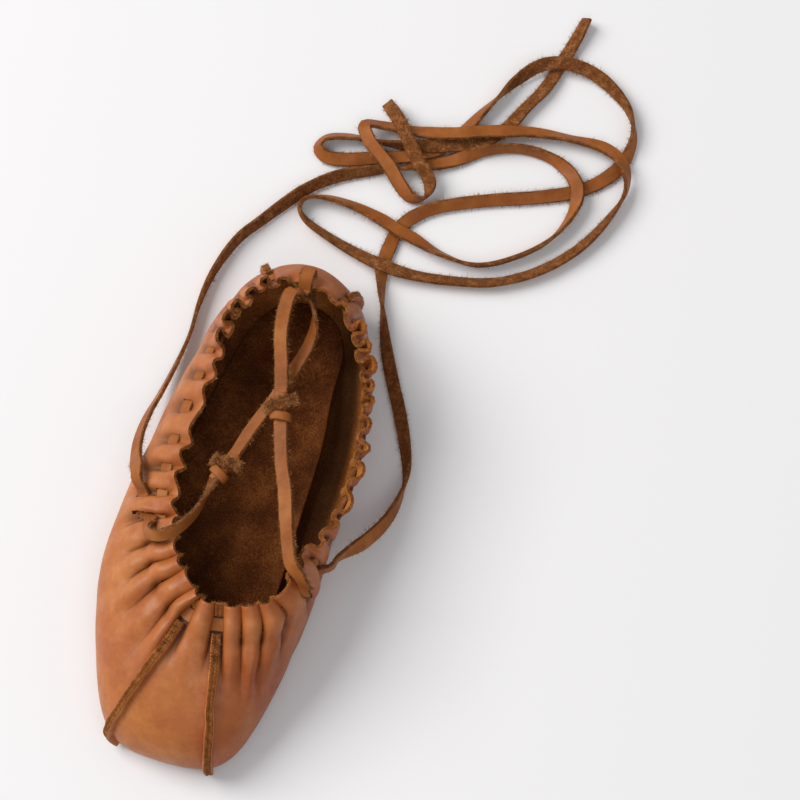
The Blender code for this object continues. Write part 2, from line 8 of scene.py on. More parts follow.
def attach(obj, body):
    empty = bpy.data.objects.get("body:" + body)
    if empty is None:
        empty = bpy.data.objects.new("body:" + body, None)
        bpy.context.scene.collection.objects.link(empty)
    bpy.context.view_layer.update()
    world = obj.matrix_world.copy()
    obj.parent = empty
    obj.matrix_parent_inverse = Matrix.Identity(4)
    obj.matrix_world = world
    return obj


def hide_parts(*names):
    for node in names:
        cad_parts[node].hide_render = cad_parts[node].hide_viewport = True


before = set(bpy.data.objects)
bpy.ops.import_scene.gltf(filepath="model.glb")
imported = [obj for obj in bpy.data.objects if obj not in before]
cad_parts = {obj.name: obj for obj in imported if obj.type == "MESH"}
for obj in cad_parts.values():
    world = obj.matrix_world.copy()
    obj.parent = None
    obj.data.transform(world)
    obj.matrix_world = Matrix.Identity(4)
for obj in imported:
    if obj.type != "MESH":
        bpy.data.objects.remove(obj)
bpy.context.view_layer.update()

# Gathered leather moccasin for the right foot: toe at -Y, heel at +Y, inner side of the foot at +X.
# Sizes are in millimetres and degrees until a mesh is written.
mm = 0.001
chance = np.random.default_rng(11)

shoe = {
    "leather": 2.0,
    "frillHeight": 10.0,  # raw edge above the lace line
    "laceHalf": 3.9,  # half the height of a lace slit
    "rollDrop": 20.0,  # millimetres that the roll under the foot counts for
    "heelPhase": 0.5,
    "middle": (1.33, -1.4, 0.0),  # taken off every point, so that the box is centred
    "sideSteps": 60,  # steps over which the length of the side is summed
}

# Ribs round the foot from the heel along the outer side to the toe and back.
# bulge x y z, roll, lace x y z, crown, lean, gathers to the next rib, fold run
ribs = {
    "heel": (1.0, 122.5, 18, 10, 3.0, 112.5, 44, 34, 46, 1.5, 14),
    "heelLateral": (-21, 114.5, 18, 10, -14.5, 105, 43, 34, 44, 3, 14),
    "backLateral": (-36.5, 89, 17, 11, -28, 83, 41, 35, 42, 3, 14),
    "waistLateral": (-44.5, 53, 16, 12, -33.5, 51, 37, 40, 43, 2, 13),
    "middleLateral": (-50, 17, 16, 12, -35.8, 18, 35, 42, 43, 3, 13),
    "strapLateral": (-53, -21, 16, 12, -30, -21, 38, 50, 48, 2, 22),
    "ballLateral": (-52.3, -51, 14, 12, -20.5, -43, 42, 58, 52, 1, 30),
    "toeLateral": (-40.8, -90.5, 11, 11, -12, -53.5, 44, 62, 56, 1, 32),
    "seamLateral": (-21.5, -120.5, 8, 11, -4.0, -62, 45, 66, 60, 0.5, 34),
    "toe": (0, -124, 8, 11, 4.0, -64, 45.5, 68, 60, 0.5, 34),
    "seamMedial": (21.5, -121.5, 8, 11, 11.8, -63, 45, 66, 60, 2, 34),
    "toeMedial": (38, -96, 11, 11, 31, -56.5, 44, 60, 55, 2, 30),
    "strapMedial": (46.5, -39, 15, 12, 42, -33, 40, 45, 30, 3, 22),
    "middleMedial": (46.5, 3, 16, 12, 48.5, 3, 35, 25, -8, 3, 13),
    "waistMedial": (46, 46, 16, 12, 48.5, 43, 36, 20, -12, 4, 13),
    "backMedial": (39, 83, 17, 11, 39.5, 78, 40, 25, 5, 3, 14),
    "heelMedial": (24, 113, 18, 10, 21, 103.5, 43, 34, 38, 1.5, 14),
}
ribNames = list(ribs)
ribTable = np.array([ribs[name] for name in ribNames], float)
bulgeRing, laceRing = ribTable[:, 0:3], ribTable[:, 4:7]
rollOf, crownOf, leanOf, gathersOf, foldOf = ribTable[:, [3, 7, 8, 9, 10]].T
ribStep = sum(np.linalg.norm(np.roll(ring, -1, 0) - ring, axis=1) for ring in (bulgeRing, laceRing)) / 2
ribAt = np.concatenate([[0], np.cumsum(ribStep)])
roundFoot = ribAt[-1]


# closed cubic through one value a rib: second slopes from the ring of equations,
# then the cubic between two ribs
def ringSpline(values, r):
    count = len(values)
    index = np.arange(count)
    before = np.roll(ribStep, 1)
    system = np.zeros((count, count))
    system[index, index] = 2 * (ribStep + before)
    system[index, index - 1] = before
    system[index, (index + 1) % count] = ribStep
    flat = values.reshape(count, -1)
    slope = (np.roll(flat, -1, 0) - flat) / ribStep[:, None]
    bend = np.linalg.solve(system, 6 * (slope - np.roll(slope, 1, 0)))
    r = np.asarray(r, float)
    turned = r.ravel() % roundFoot
    i = np.clip(np.searchsorted(ribAt, turned, side="right") - 1, 0, count - 1)
    j = (i + 1) % count
    step = ribStep[i][:, None]
    t = (turned - ribAt[i])[:, None] / step
    s = 1 - t
    curve = s * flat[i] + t * flat[j] + ((s**3 - s) * bend[i] + (t**3 - t) * bend[j]) * step**2 / 6
    return curve.reshape(r.shape + values.shape[1:])


ribPhase = shoe["heelPhase"] + np.concatenate([[0], np.cumsum(gathersOf)[:-1]])
gatherCount = int(round(gathersOf.sum()))
fineR = np.linspace(-0.1 * roundFoot, 1.1 * roundFoot, 6001)
evenPhase = gatherCount * ribAt[:-1] / roundFoot  # with the gathers spread evenly round the foot
finePhase = gatherCount * fineR / roundFoot + ringSpline(ribPhase - evenPhase, fineR)
phaseOf = dict(zip(ribNames, ribPhase))


# distance round the foot where the gathers have counted up to this phase
def rOfPhase(phase):
    return np.interp(phase, finePhase, fineR)


# vectors divided by their own length
def unit(vectors):
    return vectors / np.linalg.norm(vectors, axis=-1, keepdims=True)


# smooth step from 0 at a to 1 at b
def ease(value, a, b):
    t = np.clip((value - a) / (b - a), 0, 1)
    return t * t * (3 - 2 * t)


# plan direction to the middle of the foot: the ring's run turned a quarter
def inward(ring, r):
    run = unit((ringSpline(ring, r + 0.01) - ringSpline(ring, r - 0.01))[..., :2])
    return np.stack([-run[..., 1], run[..., 0]], -1)


# middle of the leather without gathers: v 0 to 1 a quarter turn up from the sole,
# 1 to 2 an arc that turns by the crown angle up to the lace, over 2 the leaning frill
def smoothSurface(r, v):
    r, v = np.broadcast_arrays(np.asarray(r, float), np.asarray(v, float))
    bulge, lace = ringSpline(bulgeRing, r), ringSpline(laceRing, r)
    turn, lean = np.radians(ringSpline(crownOf, r)), np.radians(ringSpline(leanOf, r))
    sole = bulge[..., :2] + inward(bulgeRing, r) * ringSpline(rollOf, r)[..., None]
    a = np.clip(v, 0, 1) * math.pi / 2
    s = np.clip(v - 1, 0, 1) * turn
    c = np.clip(v - 2, 0, None) * shoe["frillHeight"]
    over = ((1 - np.cos(s)) / (1 - np.cos(turn)))[..., None]
    plan = sole + (bulge[..., :2] - sole) * np.sin(a)[..., None] + (lace[..., :2] - bulge[..., :2]) * over
    plan = plan + inward(laceRing, r) * (np.sin(lean) * c)[..., None]
    low = shoe["leather"] / 2
    rise = (lace[..., 2] - bulge[..., 2]) * np.sin(s) / np.sin(turn)
    z = low + (bulge[..., 2] - low) * (1 - np.cos(a)) + rise
    return np.concatenate([plan, (z + np.cos(lean) * c)[..., None]], -1)


# outward normal and the direction up the side, from small steps along and up the surface
def directions(r, v):
    along = smoothSurface(r + 0.4, v) - smoothSurface(r - 0.4, v)
    rise = smoothSurface(r, v + 0.02) - smoothSurface(r, np.maximum(v - 0.02, 0))
    out = unit(np.cross(along, rise))
    return np.where((v < 0.001)[..., None], (0.0, 0.0, -1.0), out), unit(rise)


# millimetres along a line of points, summed from its start
def runOf(points):
    return np.concatenate([[0], np.cumsum(np.linalg.norm(np.diff(points, axis=0), axis=1))])


# v of a point so many millimetres below the lace, read back from the summed length of the side
def vOfDrop(r, drop):
    r, drop = np.broadcast_arrays(np.asarray(r, float), np.asarray(drop, float))
    steps = shoe["sideSteps"]
    rows = smoothSurface(r[..., None], np.linspace(2, 1, steps + 1))
    lengths = np.cumsum(np.linalg.norm(np.diff(rows, axis=-2), axis=-1), -1)
    lengths = np.concatenate([np.zeros(r.shape + (1,)), lengths], -1)
    i = np.clip((lengths <= drop[..., None]).sum(-1) - 1, 0, steps - 1)
    low = np.take_along_axis(lengths, i[..., None], -1)[..., 0]
    high = np.take_along_axis(lengths, i[..., None] + 1, -1)[..., 0]
    side = 2 - (i + np.clip((drop - low) / (high - low), 0, 1)) / steps
    return np.where(drop < 0, 2 - drop / shoe["frillHeight"], side)


# Meshes
# a mesh from points, quads and larger faces, with a material for each face
def meshPiece(name, points, quads, materials, faceMaterial, rims=(), sharp=None, uv=None, marks=None):
    quads = np.asarray(quads, np.int32).reshape(-1, 4)
    loops = np.concatenate([quads.ravel(), *[np.asarray(rim, np.int32) for rim in rims]])
    sizes = np.concatenate([np.full(len(quads), 4), [len(rim) for rim in rims]]).astype(np.int32)
    mesh = bpy.data.meshes.new(name)
    mesh.vertices.add(len(points))
    mesh.vertices.foreach_set("co", ((points - np.array(shoe["middle"])) * mm).astype(np.float32).ravel())
    mesh.loops.add(len(loops))
    mesh.loops.foreach_set("vertex_index", loops)
    mesh.polygons.add(len(sizes))
    mesh.polygons.foreach_set("loop_start", np.concatenate([[0], np.cumsum(sizes)[:-1]]).astype(np.int32))
    mesh.polygons.foreach_set("material_index", np.asarray(faceMaterial, np.int32))
    mesh.update(calc_edges=True)
    mesh.polygons.foreach_set("use_smooth", np.ones(len(sizes), bool))
    if sharp:
        mesh.set_sharp_from_angle(angle=math.radians(sharp))
    if uv is not None:
        layer = mesh.uv_layers.new(name="UVMap")
        layer.data.foreach_set("uv", uv[loops].astype(np.float32).ravel())
    for mark, values in (marks or {}).items():
        layer = mesh.attributes.new(mark, "FLOAT", "POINT")
        layer.data.foreach_set("value", values.astype(np.float32).ravel())
    for material in materials:
        mesh.materials.append(material)
    piece = bpy.data.objects.new(name, mesh)
    bpy.context.scene.collection.objects.link(piece)
    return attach(piece, "root")


# two sheets of points closed into a wall: outer quads, inner quads turned round, and a strip
# wherever a kept cell has no kept neighbour; material 0 outside, 1 inside, 2 on the cut edges
def wallFaces(keep):
    rows, columns = keep.shape[0] + 1, keep.shape[1]
    ids = np.arange(rows * columns).reshape(rows, columns)
    after = np.roll(ids, -1, 1)
    corners = np.stack([ids[:-1], ids[1:], after[1:], after[:-1]], -1)
    skip = rows * columns
    outer = corners[keep]
    inner = corners[keep][:, ::-1] + skip
    none = np.zeros((1, columns), bool)
    sides = (
        (np.concatenate([none, keep[:-1]]), 3, 0),
        (np.concatenate([keep[1:], ~none]), 1, 2),
        (np.roll(keep, 1, 1), 0, 1),
        (np.roll(keep, -1, 1), 2, 3),
    )
    cuts = []
    for beside, a, b in sides:
        bare = corners[keep & ~beside]
        cuts.append(np.stack([bare[:, b], bare[:, a], bare[:, a] + skip, bare[:, b] + skip], -1))
    cuts = np.concatenate(cuts)
    kinds = np.concatenate([np.zeros(len(outer)), np.ones(len(inner)), np.full(len(cuts), 2)])
    return np.concatenate([outer, inner, cuts]), kinds


# quads of a tube of rings, and its two end rims
def tubeFaces(rings, around):
    ids = np.arange(rings * around).reshape(rings, around)
    after = np.roll(ids, -1, 1)
    quads = np.stack([ids[:-1], ids[1:], after[1:], after[:-1]], -1).reshape(-1, 4)
    return quads, (ids[0], ids[-1][::-1])


# smooth noise along a line: random values every few millimetres, joined by eased steps
def wander(length, every, size):
    values = chance.normal(0, size, int(np.max(length) / every) + 3)
    t = length / every
    i = t.astype(int)
    f = ease(t - i, 0, 1)
    return values[i] * (1 - f) + values[i + 1] * f


# Materials
# sRGB hex to linear light
def colour(text):
    c = np.array([int(text[i:i + 2], 16) for i in (1, 3, 5)]) / 255
    return (*np.where(c <= 0.04045, c / 12.92, ((c + 0.055) / 1.055) ** 2.4), 1.0)


# one node: its settings, then each socket either set to a value or joined to another node's output
def addNode(tree, kind, settings=None, **sockets):
    node = tree.nodes.new("ShaderNode" + kind)
    for key, value in (settings or {}).items():
        if key == "ramp":
            node.color_ramp.elements.new(0.5)
            for element, (place, text) in zip(node.color_ramp.elements, value):
                element.position, element.color = place, colour(text)
        else:
            setattr(node, key, value)
    for key, value in sockets.items():
        socket = node.inputs[key.replace("_", " ")]
        if isinstance(value, bpy.types.NodeSocket):
            tree.links.new(value, socket)
        else:
            socket.default_value = value
    return node


# a material with the values that don't vary set on its shader
def newMaterial(name, **fixed):
    material = bpy.data.materials.new(name)
    material.use_nodes = True
    tree = material.node_tree
    shader = tree.nodes["Principled BSDF"]
    for key, value in fixed.items():
        shader.inputs[key.replace("_", " ")].default_value = value
    return material, tree, shader


# soft noise whose patches are this many millimetres wide
def noiseAt(tree, place, size, detail, roughness):
    node = addNode(tree, "TexNoise", Vector=place, Scale=1 / (size * mm), Detail=detail, Roughness=roughness)
    return node.outputs["Fac"]


# a value brought from one range to another and cut off at both ends
def remap(tree, value, low, high, toLow, toHigh):
    ends = {"From_Min": low, "From_Max": high, "To_Min": toLow, "To_Max": toHigh}
    return addNode(tree, "MapRange", Value=value, **ends).outputs["Result"]


# one colour laid over another by a share
def layOver(tree, share, under, over, blend="MIX"):
    node = addNode(tree, "MixRGB", {"blend_type": blend}, Fac=share, Color1=under, Color2=over)
    return node.outputs["Color"]


# a colour read off a ramp of three
def tintBy(tree, value, ramp):
    return addNode(tree, "ValToRGB", {"ramp": ramp}, Fac=value).outputs["Color"]


# a mark that the mesh carries at each point
def markOf(tree, name):
    return addNode(tree, "Attribute", {"attribute_name": name}).outputs["Fac"]


# a value times a share, plus another value if there is one
def weigh(tree, value, share, plus=None):
    operation = "MULTIPLY" if plus is None else "MULTIPLY_ADD"
    node = addNode(tree, "Math", {"operation": operation}, Value=value)
    node.inputs[1].default_value = share
    if plus is not None:
        tree.links.new(plus, node.inputs[2])
    return node.outputs["Value"]


# a bump so many millimetres high, joined to the shader
def addBump(tree, shader, height, strength, distance):
    bump = addNode(tree, "Bump", Height=height, Strength=strength, Distance=distance * mm)
    tree.links.new(bump.outputs["Normal"], shader.inputs["Normal"])


grainLook = {
    "ramp": ((0.30, "#95491b"), (0.5, "#ad632d"), (0.70, "#be7a43")),  # blotches of the dye
    "strap": ((0.30, "#7f461b"), (0.5, "#9b5b28"), (0.72, "#b17238")),
    "dyeAndSideLight": "#99491c",  # painted shade on the inner side and heel, partly a deeper dye
    "deep": "#43200d",  # painted shade in the creases and valleys, and low down by the sole
    "proud": "#d08a4c",  # rubbed ridges, and painted highlights on the toe and the outer side
    "blotch": 26.0,
    "pore": 1.15,  # real pores are 0.3 mm; drawn wider so that they show
    "poreShare": 0.45,
    "crease": 5.0,
    "fleck": (0.3, 0.7, 0.26, "#a86438"),  # fine creases: noise range, most of the colour, colour
    "speckSize": 1.7,
    "speck": (0.4, 0.7, 0.09, "#9a5a30"),  # small marks of wear, in the same order
    "gloss": (0.40, 0.56),  # roughness from the smoothest to the driest patch
    "bump": (0.32, 0.25),  # strength, millimetres
}


# Vegetable-tanned full-grain cowhide, waxed by hand: an even tan with cloudy dye, fine pores
# and a soft low sheen
def makeGrain(name, where, marked, ramp, coat, shine):
    material, tree, shader = newMaterial(
        name, IOR=1.45, Coat_Weight=coat, Coat_Roughness=0.30, Specular_IOR_Level=shine
    )
    place = addNode(tree, "TexCoord").outputs[where]
    tan = tintBy(tree, noiseAt(tree, place, grainLook["blotch"], 5.0, 0.6), ramp)
    # the marks lay painted shade, partly a deeper dye, on the inner side and heel; painted shade in creases
    # and low down; rubbed ridges and painted highlights
    for mark in ("dyeAndSideLight", "deep", "proud") if marked else ():
        tan = layOver(tree, markOf(tree, mark), tan, colour(grainLook[mark]))
    creases = noiseAt(tree, place, grainLook["crease"], 6.0, 0.7)
    specks = noiseAt(tree, place, grainLook["speckSize"], 3.0, 0.6)
    for noise, (low, high, most, text) in ((creases, grainLook["fleck"]), (specks, grainLook["speck"])):
        tan = layOver(tree, remap(tree, noise, low, high, 0.0, most), tan, colour(text), "MULTIPLY")
    tree.links.new(tan, shader.inputs["Base Color"])
    low, high = grainLook["fleck"][:2]
    tree.links.new(remap(tree, creases, low, high, *grainLook["gloss"]), shader.inputs["Roughness"])
    pores = addNode(tree, "TexVoronoi", Vector=place, Scale=1 / (grainLook["pore"] * mm)).outputs["Distance"]
    addBump(tree, shader, weigh(tree, pores, grainLook["poreShare"], creases), *grainLook["bump"])
    return material


napLook = {
    "inside": ((0.34, "#291206"), (0.52, "#5c2f12"), (0.70, "#905628")),
    "edge": ((0.36, "#522c12"), (0.52, "#7a451c"), (0.68, "#a06a36")),
    "flesh": ((0.36, "#48270f"), (0.52, "#714220"), (0.68, "#9f6c40")),
    "wearAndLight": ((0.34, "#8a4416"), (0.52, "#cb7a35"), (0.70, "#e6a862")),  # painted light on the wall along the inner side and heel
    "groove": "#120803",  # painted shade where the wall meets the footbed
    "sheen": "#b0703c",
    "cloud": 15.0,
    "cloudShare": 0.5,
    "nap": 0.8,  # suede fibres, drawn wider than the real 0.2 mm so that they show
    "napShare": 0.55,
    "bump": (0.7, 0.5),  # strength, millimetres
}


# Brushed suede: the flesh side of the hide, matt and dark, with a short nap in cloudy patches
def makeNap(name, where, ramp, cloudSize, sheen, wearAndLight=None):
    material, tree, shader = newMaterial(
        name, Roughness=0.95, Specular_IOR_Level=0.15,
        Sheen_Weight=sheen, Sheen_Roughness=0.55, Sheen_Tint=colour(napLook["sheen"]),
    )
    place = addNode(tree, "TexCoord").outputs[where]
    cloud = noiseAt(tree, place, cloudSize, 4.0, 0.65)
    nap = noiseAt(tree, place, napLook["nap"], 3.0, 0.7)
    both = weigh(tree, nap, napLook["napShare"], weigh(tree, cloud, napLook["cloudShare"]))
    brown = tintBy(tree, both, ramp)
    if wearAndLight:
        # painted light: a lighter ramp over the wall's inner side and heel
        brown = layOver(tree, markOf(tree, "dyeAndSideLight"), brown, tintBy(tree, both, wearAndLight))
        # painted shade in the groove beside the footbed
        brown = layOver(tree, markOf(tree, "groove"), brown, colour(napLook["groove"]))
    tree.links.new(brown, shader.inputs["Base Color"])
    addBump(tree, shader, nap, *napLook["bump"])
    return material


fibreLook = {"ramp": ((0.35, "#5c3417"), (0.5, "#8a5930"), (0.65, "#b98a58")), "vary": 3.0}


# Loose hide fibres: thin, dry and matt, a little lighter than the suede that they stand on
def makeFibre(name):
    material, tree, shader = newMaterial(name, Roughness=0.85, Specular_IOR_Level=0.2)
    place = addNode(tree, "TexCoord").outputs["Object"]
    tint = tintBy(tree, noiseAt(tree, place, fibreLook["vary"], 2.0, 0.5), fibreLook["ramp"])
    tree.links.new(tint, shader.inputs["Base Color"])
    return material


waxedCowhide = makeGrain("waxed_full_grain_cowhide", "Object", True, grainLook["ramp"], 0.13, 0.36)
strapCowhide = makeGrain("waxed_strap_cowhide", "UV", False, grainLook["strap"], 0.0, 0.2)
insideSuede = makeNap("brushed_inside_suede", "Object", napLook["inside"], napLook["cloud"], 0.12)
wallSuede = makeNap("painted_light_wall_suede", "Object", napLook["inside"], napLook["cloud"], 0.12, napLook["wearAndLight"])
rawEdge = makeNap("raw_cut_hide_edge", "Object", napLook["edge"], 3.0, 0.3)
strapFlesh = makeNap("strap_flesh_suede", "Object", napLook["flesh"], 3.5, 0.3)
hideFibre = makeFibre("loose_hide_fibre")
strapHides = (strapCowhide, strapFlesh)
print("materials made")

# Upper and sole
upper = {
    # across half a gather, then down the frill
    "columns": (0, 0.018, 0.04, 0.065, 0.09, 0.12, 0.15, 0.18, 0.205, 0.23, 0.265, 0.32, 0.41),
    "frillDrops": (-10.0, -9.6, -8.8, -7.8, -7.0, -5.8, -4.8, -3.9, -2.6, -1.3, 0.0, 1.3, 2.6, 3.9),
    "sideRows": 27,
    "rollRows": 8,
    "slit": 0.35,  # leather is cut away where the swing is below this share
    "widen": 0.085,  # millimetres a valley widens for each millimetre down
    "tieTop": 7.4,
    "tieBottom": 15.0,
    "tieRun": 10.0,
    "tieHold": (0.85, 0.2),  # gathers from a tied pleat where the hold ends, and over which it goes
    "tieReach": 0.45,  # gathers to either side of a tie's entry where its slit starts at the lace
    "heelSlit": (0.21, 0.76, -7.0),  # gathers between which it is cut, and its top
    "easing": (10, 5, 6),  # turns of smoothing, millimetres from the lace, turns for the normals
    "ownNormal": (0.6, 0.38, -3, 4),  # share of the sheet's own normal low down, how much more higher up
    "front": (12.5, 13.8, 21.3, 22.5),  # gathers between which the pleats stay rolled up to the raw edge
}
# Collar by gather: swing to either side of the lace, crown of a ridge, half a valley in gathers,
# swing of the raw edge, how far the edge curls back on itself, how straight it stands
collar = np.array((
    (0.5, 1.5, 0.0, 0.15, 0.5, 0.0, 0.0), (1.5, 1.5, 0.0, 0.18, 1.4, 0.3, 0.3),
    (2.3, 1.5, 0.1, 0.20, 3.3, 1.6, 1.0), (6.0, 1.5, 0.1, 0.20, 3.3, 1.6, 1.0),
    (7.3, 1.45, 0.15, 0.21, 2.3, 0.5, 0.3), (9.0, 1.4, 0.15, 0.22, 2.0, 0.0, 0.0),
    (11.5, 1.55, 0.35, 0.21, 2.0, 0.0, 0.0), (13.0, 2.0, 0.5, 0.16, 2.0, 0.0, 0.0),
    (14.5, 2.5, 0.7, 0.12, 2.3, 0.0, 0.0), (20.5, 2.5, 0.7, 0.12, 2.3, 0.0, 0.0),
    (22.0, 2.0, 0.5, 0.15, 2.4, 0.4, 0.0), (23.5, 1.7, 0.3, 0.18, 2.8, 1.1, 0.0),
    (26.0, 1.6, 0.2, 0.20, 2.3, 0.5, 0.0), (30.0, 1.6, 0.2, 0.20, 2.5, 0.7, 0.0),
    (32.0, 1.6, 0.2, 0.20, 3.4, 1.5, 0.3), (33.6, 1.5, 0.1, 0.18, 4.2, 2.1, 0.8),
    (35.0, 1.5, 0.0, 0.18, 2.0, 0.6, 0.5), (35.8, 1.5, 0.0, 0.16, 0.7, 0.0, 0.0),
))
standUp = 26.0  # degrees that the frill stands straighter where the last column is 1
seamFlat = 0.24  # half a gather of bare lace over a toe seam
plainFlat = 0.012  # and in the other valleys
noValley = (0, 1)  # the back of the heel runs smooth over the lace
# Pleats of the vamp: gather where the valley lies, run down the vamp, depth,
# sideways drift in millimetres a millimetre
vampPleats = np.array((
    (11, 16, 1.0, 0.0), (12, 16, 1.0, 0.0), (13, 18, 1.0, 0.20), (13.95, 26, 1.1, 0.58),
    (14.75, 31, 1.15, 0.60), (15.45, 36, 1.15, 0.46), (16.2, 38, 1.1, 0.24), (17, 30, 1.0, 0.0),
    (18, 30, 1.0, 0.0), (19, 38, 1.1, 0.08), (20, 44, 1.2, 0.02), (21, 36, 1.05, -0.10),
    (22, 22, 1.0, 0.0), (23, 18, 1.0, 0.0),
))
driftReach = 30.0  # millimetres of side over which a pleat drifts
pit = {"drop": 7.5, "long": 3.2, "wide": 0.34, "deep": 0.6}  # hollows between the front pleats
foldShape = {
    "floor": (3.2, 1.2, 4, 12),  # power of a side trough at the lace, its fall, and from and to which drop
    "soften": (9, 28),  # drops between which a half-round front ridge becomes a cosine wave
    "knuckle": 5.5,  # millimetres over which a ridge stands proud at the lace
    "neck": (0.55, 10, 4),  # share, drop and length of the dip below it
    "deepen": (3.9, 10),  # drops between which a pleat takes its own depth
    "shade": 0.15,  # half a ridge with painted shade beside a front valley
}
foldOver = {"gathers": (13.3, 14.0, 16.4, 17.0), "by": 1.7}  # outer front pleats lie over towards the toe
# Soft troughs (depth above 0) and ridges (below 0) pressed in by wear:
# phase and drop at both ends, width, depth
wearCreases = (
    (14.7, 22, 15.0, 40, 5.0, 0.8),
    (15.25, 24, 15.45, 48, 5.5, 0.9),
    (15.75, 24, 15.9, 50, 6.0, 0.8),
    (16.4, 24, 16.45, 52, 6.0, 0.7),
    (17.35, 62, 17.75, 60, 9.0, -1.6),
    (17.3, 30, 17.7, 44, 6.0, 0.5),
    (18.6, 18, 18.8, 50, 5.0, 0.9),
    (19.5, 16, 19.6, 54, 5.5, 1.0),
    (20.6, 14, 20.3, 46, 5.0, 1.0),
    (21.5, 18, 21.1, 44, 5.0, 0.8),
    (12.70, 2, 13.25, 25, 3.6, -1.7),  # the fold over the outer tie, and the crease under it
    (13.15, 13, 13.65, 27, 2.8, 1.4),
    (9.0, 14, 10.5, 26, 5.5, 0.8),
    (6.2, 12, 7.6, 24, 6.0, 0.9),
    (3.6, 10, 4.4, 27, 5.0, 0.8),
    (26.2, 12, 27.8, 20, 5.5, 0.9),
    (30.2, 10, 31.6, 24, 5.5, 0.8),
    (0.2, 16, 0.9, 15, 6.0, 0.9),
    (14.30, 2, 14.45, 13, 1.6, 0.8),  # puckers on the heads of the front pleats
    (15.05, 3, 15.15, 14, 1.5, 0.8),
    (15.80, 4, 15.92, 15, 1.5, 0.7),
    (16.58, 2, 16.50, 12, 1.4, 0.7),
    (17.62, 6, 17.50, 18, 2.0, 0.6),
    (19.42, 6, 19.55, 20, 1.7, 0.6),
    (20.55, 4, 20.45, 15, 1.6, 0.7),
    (21.40, 3, 21.50, 13, 1.7, 0.8),
)


# a column of the collar table at any phase, straight between its rows and closed round the heel
def collarAt(phase, which):
    return np.interp(phase, collar[:, 0], collar[:, which], period=gatherCount)


# 1 at the two pleats that a tie goes under, 0 elsewhere
def tieHold(phase):
    pleats = (phaseOf["strapLateral"] - 0.5, phaseOf["strapMedial"] + 0.5)
    reach, over = upper["tieHold"]
    return sum(np.clip((reach - np.abs(phase - pleat)) / over, 0, 1) for pleat in pleats)


# 1 over the toes, eased to 0 at both sides
def frontShare(phase):
    a, b, c, d = upper["front"]
    return ease(phase, a, b) * (1 - ease(phase, c, d))


beforeVamp, afterVamp = np.arange(vampPleats[0, 0]), np.arange(vampPleats[-1, 0] + 1, gatherCount)
valleyAt = np.concatenate([beforeVamp, vampPleats[:, 0], afterVamp])
valleys = np.arange(len(valleyAt))
pleatCount = len(valleyAt)
wrappedAt = np.concatenate([valleyAt + turn * gatherCount for turn in (-1, 0, 1)])
wrappedValleys = np.concatenate([valleys + turn * pleatCount for turn in (-1, 0, 1)])


# pleats are counted from valley to valley, so a pleat number reads back to a gather along straight lines
def phaseOfPleat(pleat):
    return np.interp(pleat, wrappedValleys, wrappedAt)


# distance round the foot at a pleat number
def rOfPleat(pleat):
    return rOfPhase(phaseOfPleat(pleat))


pleatRun = ringSpline(foldOf, rOfPleat(valleys))
pleatDepth, pleatDrift = np.ones(pleatCount), np.zeros(pleatCount)
onVamp = np.isin(valleyAt, vampPleats[:, 0])
pleatRun[onVamp], pleatDepth[onVamp], pleatDrift[onVamp] = vampPleats[:, 1:].T
valleyHalf = collarAt(valleyAt, 3)
atSeam = np.isin(valleyAt, [phaseOf["seamLateral"], phaseOf["seamMedial"]])
valleyFlat = np.where(atSeam, seamFlat, plainFlat)
valleyCut = np.where(np.isin(valleyAt, noValley), 0.0, 1.0)


# a value for each valley, read between valleys along a straight line
def betweenValleys(pleat, values):
    return np.interp(pleat, valleys, values, period=pleatCount)


# swing of the leather about the lace, and the painted shade in its troughs and hollows. On the sides: a
# flat-bottomed trough at each valley and a low ridge between. Over the toes: half-round ridges pressed
# together, which soften to a cosine wave down the vamp. Both fade down the side by a cosine.
def gatherSwing(pleat, drop, stretch):
    near = np.round(pleat).astype(int)
    k = near % pleatCount
    phase = phaseOfPleat(pleat)
    front = frontShare(phase)
    down = np.clip(drop - shoe["laceHalf"], 0, None)
    t = np.abs(pleat - near)
    held = tieHold(phase % gatherCount)
    run = betweenValleys(pleat, pleatRun) * (1 - held) + upper["tieRun"] * held
    hold = shoe["laceHalf"] + (upper["tieBottom"] + 0.3 - shoe["laceHalf"]) * held
    fade = 0.5 + 0.5 * np.cos(math.pi * np.clip((drop - hold) / run, 0, 1))
    half = valleyHalf[k] * stretch + upper["widen"] * down
    power, less, *between = foldShape["floor"]
    trough = np.exp(-((t * stretch / half) ** (power - less * ease(drop, *between)))) * valleyCut[k]
    crown = collarAt(phase, 2) * (1 - held)
    side = 1 + crown * np.clip(1 - (2 * t - 1) ** 2, 0, 1) - 2 * trough
    u = np.clip((t - valleyFlat[k]) / (0.5 - valleyFlat[k]), 0, 1)
    soft = ease(drop, *foldShape["soften"])
    ridge = (1 - soft) * np.sqrt(u * (2 - u)) + soft * (0.5 - 0.5 * np.cos(math.pi * u))
    neckShare, neckDrop, neckLong = foldShape["neck"]
    neck = neckShare * np.exp(-(((drop - neckDrop) / neckLong) ** 2))
    knuckle = 1 + crown * (np.exp(-((drop / foldShape["knuckle"]) ** 2)) - neck)
    over = (1 + knuckle) * ridge - 1
    front = front * (1 - held)
    depth = 1 + (betweenValleys(pleat, pleatDepth) - 1) * ease(drop, *foldShape["deepen"])
    swing = fade * depth * (side * (1 - front) + over * front)
    hollow = np.exp(-(((drop - pit["drop"]) / pit["long"]) ** 2) - (u / pit["wide"]) ** 2)
    hollow = front * hollow * ~atSeam[k]
    # painted shade: in the side troughs, beside the front valleys and in the hollows
    dark = trough * (1 - front) + np.exp(-((u / foldShape["shade"]) ** 2)) * front
    return swing - hollow * pit["deep"], np.maximum(fade * dark, hollow)


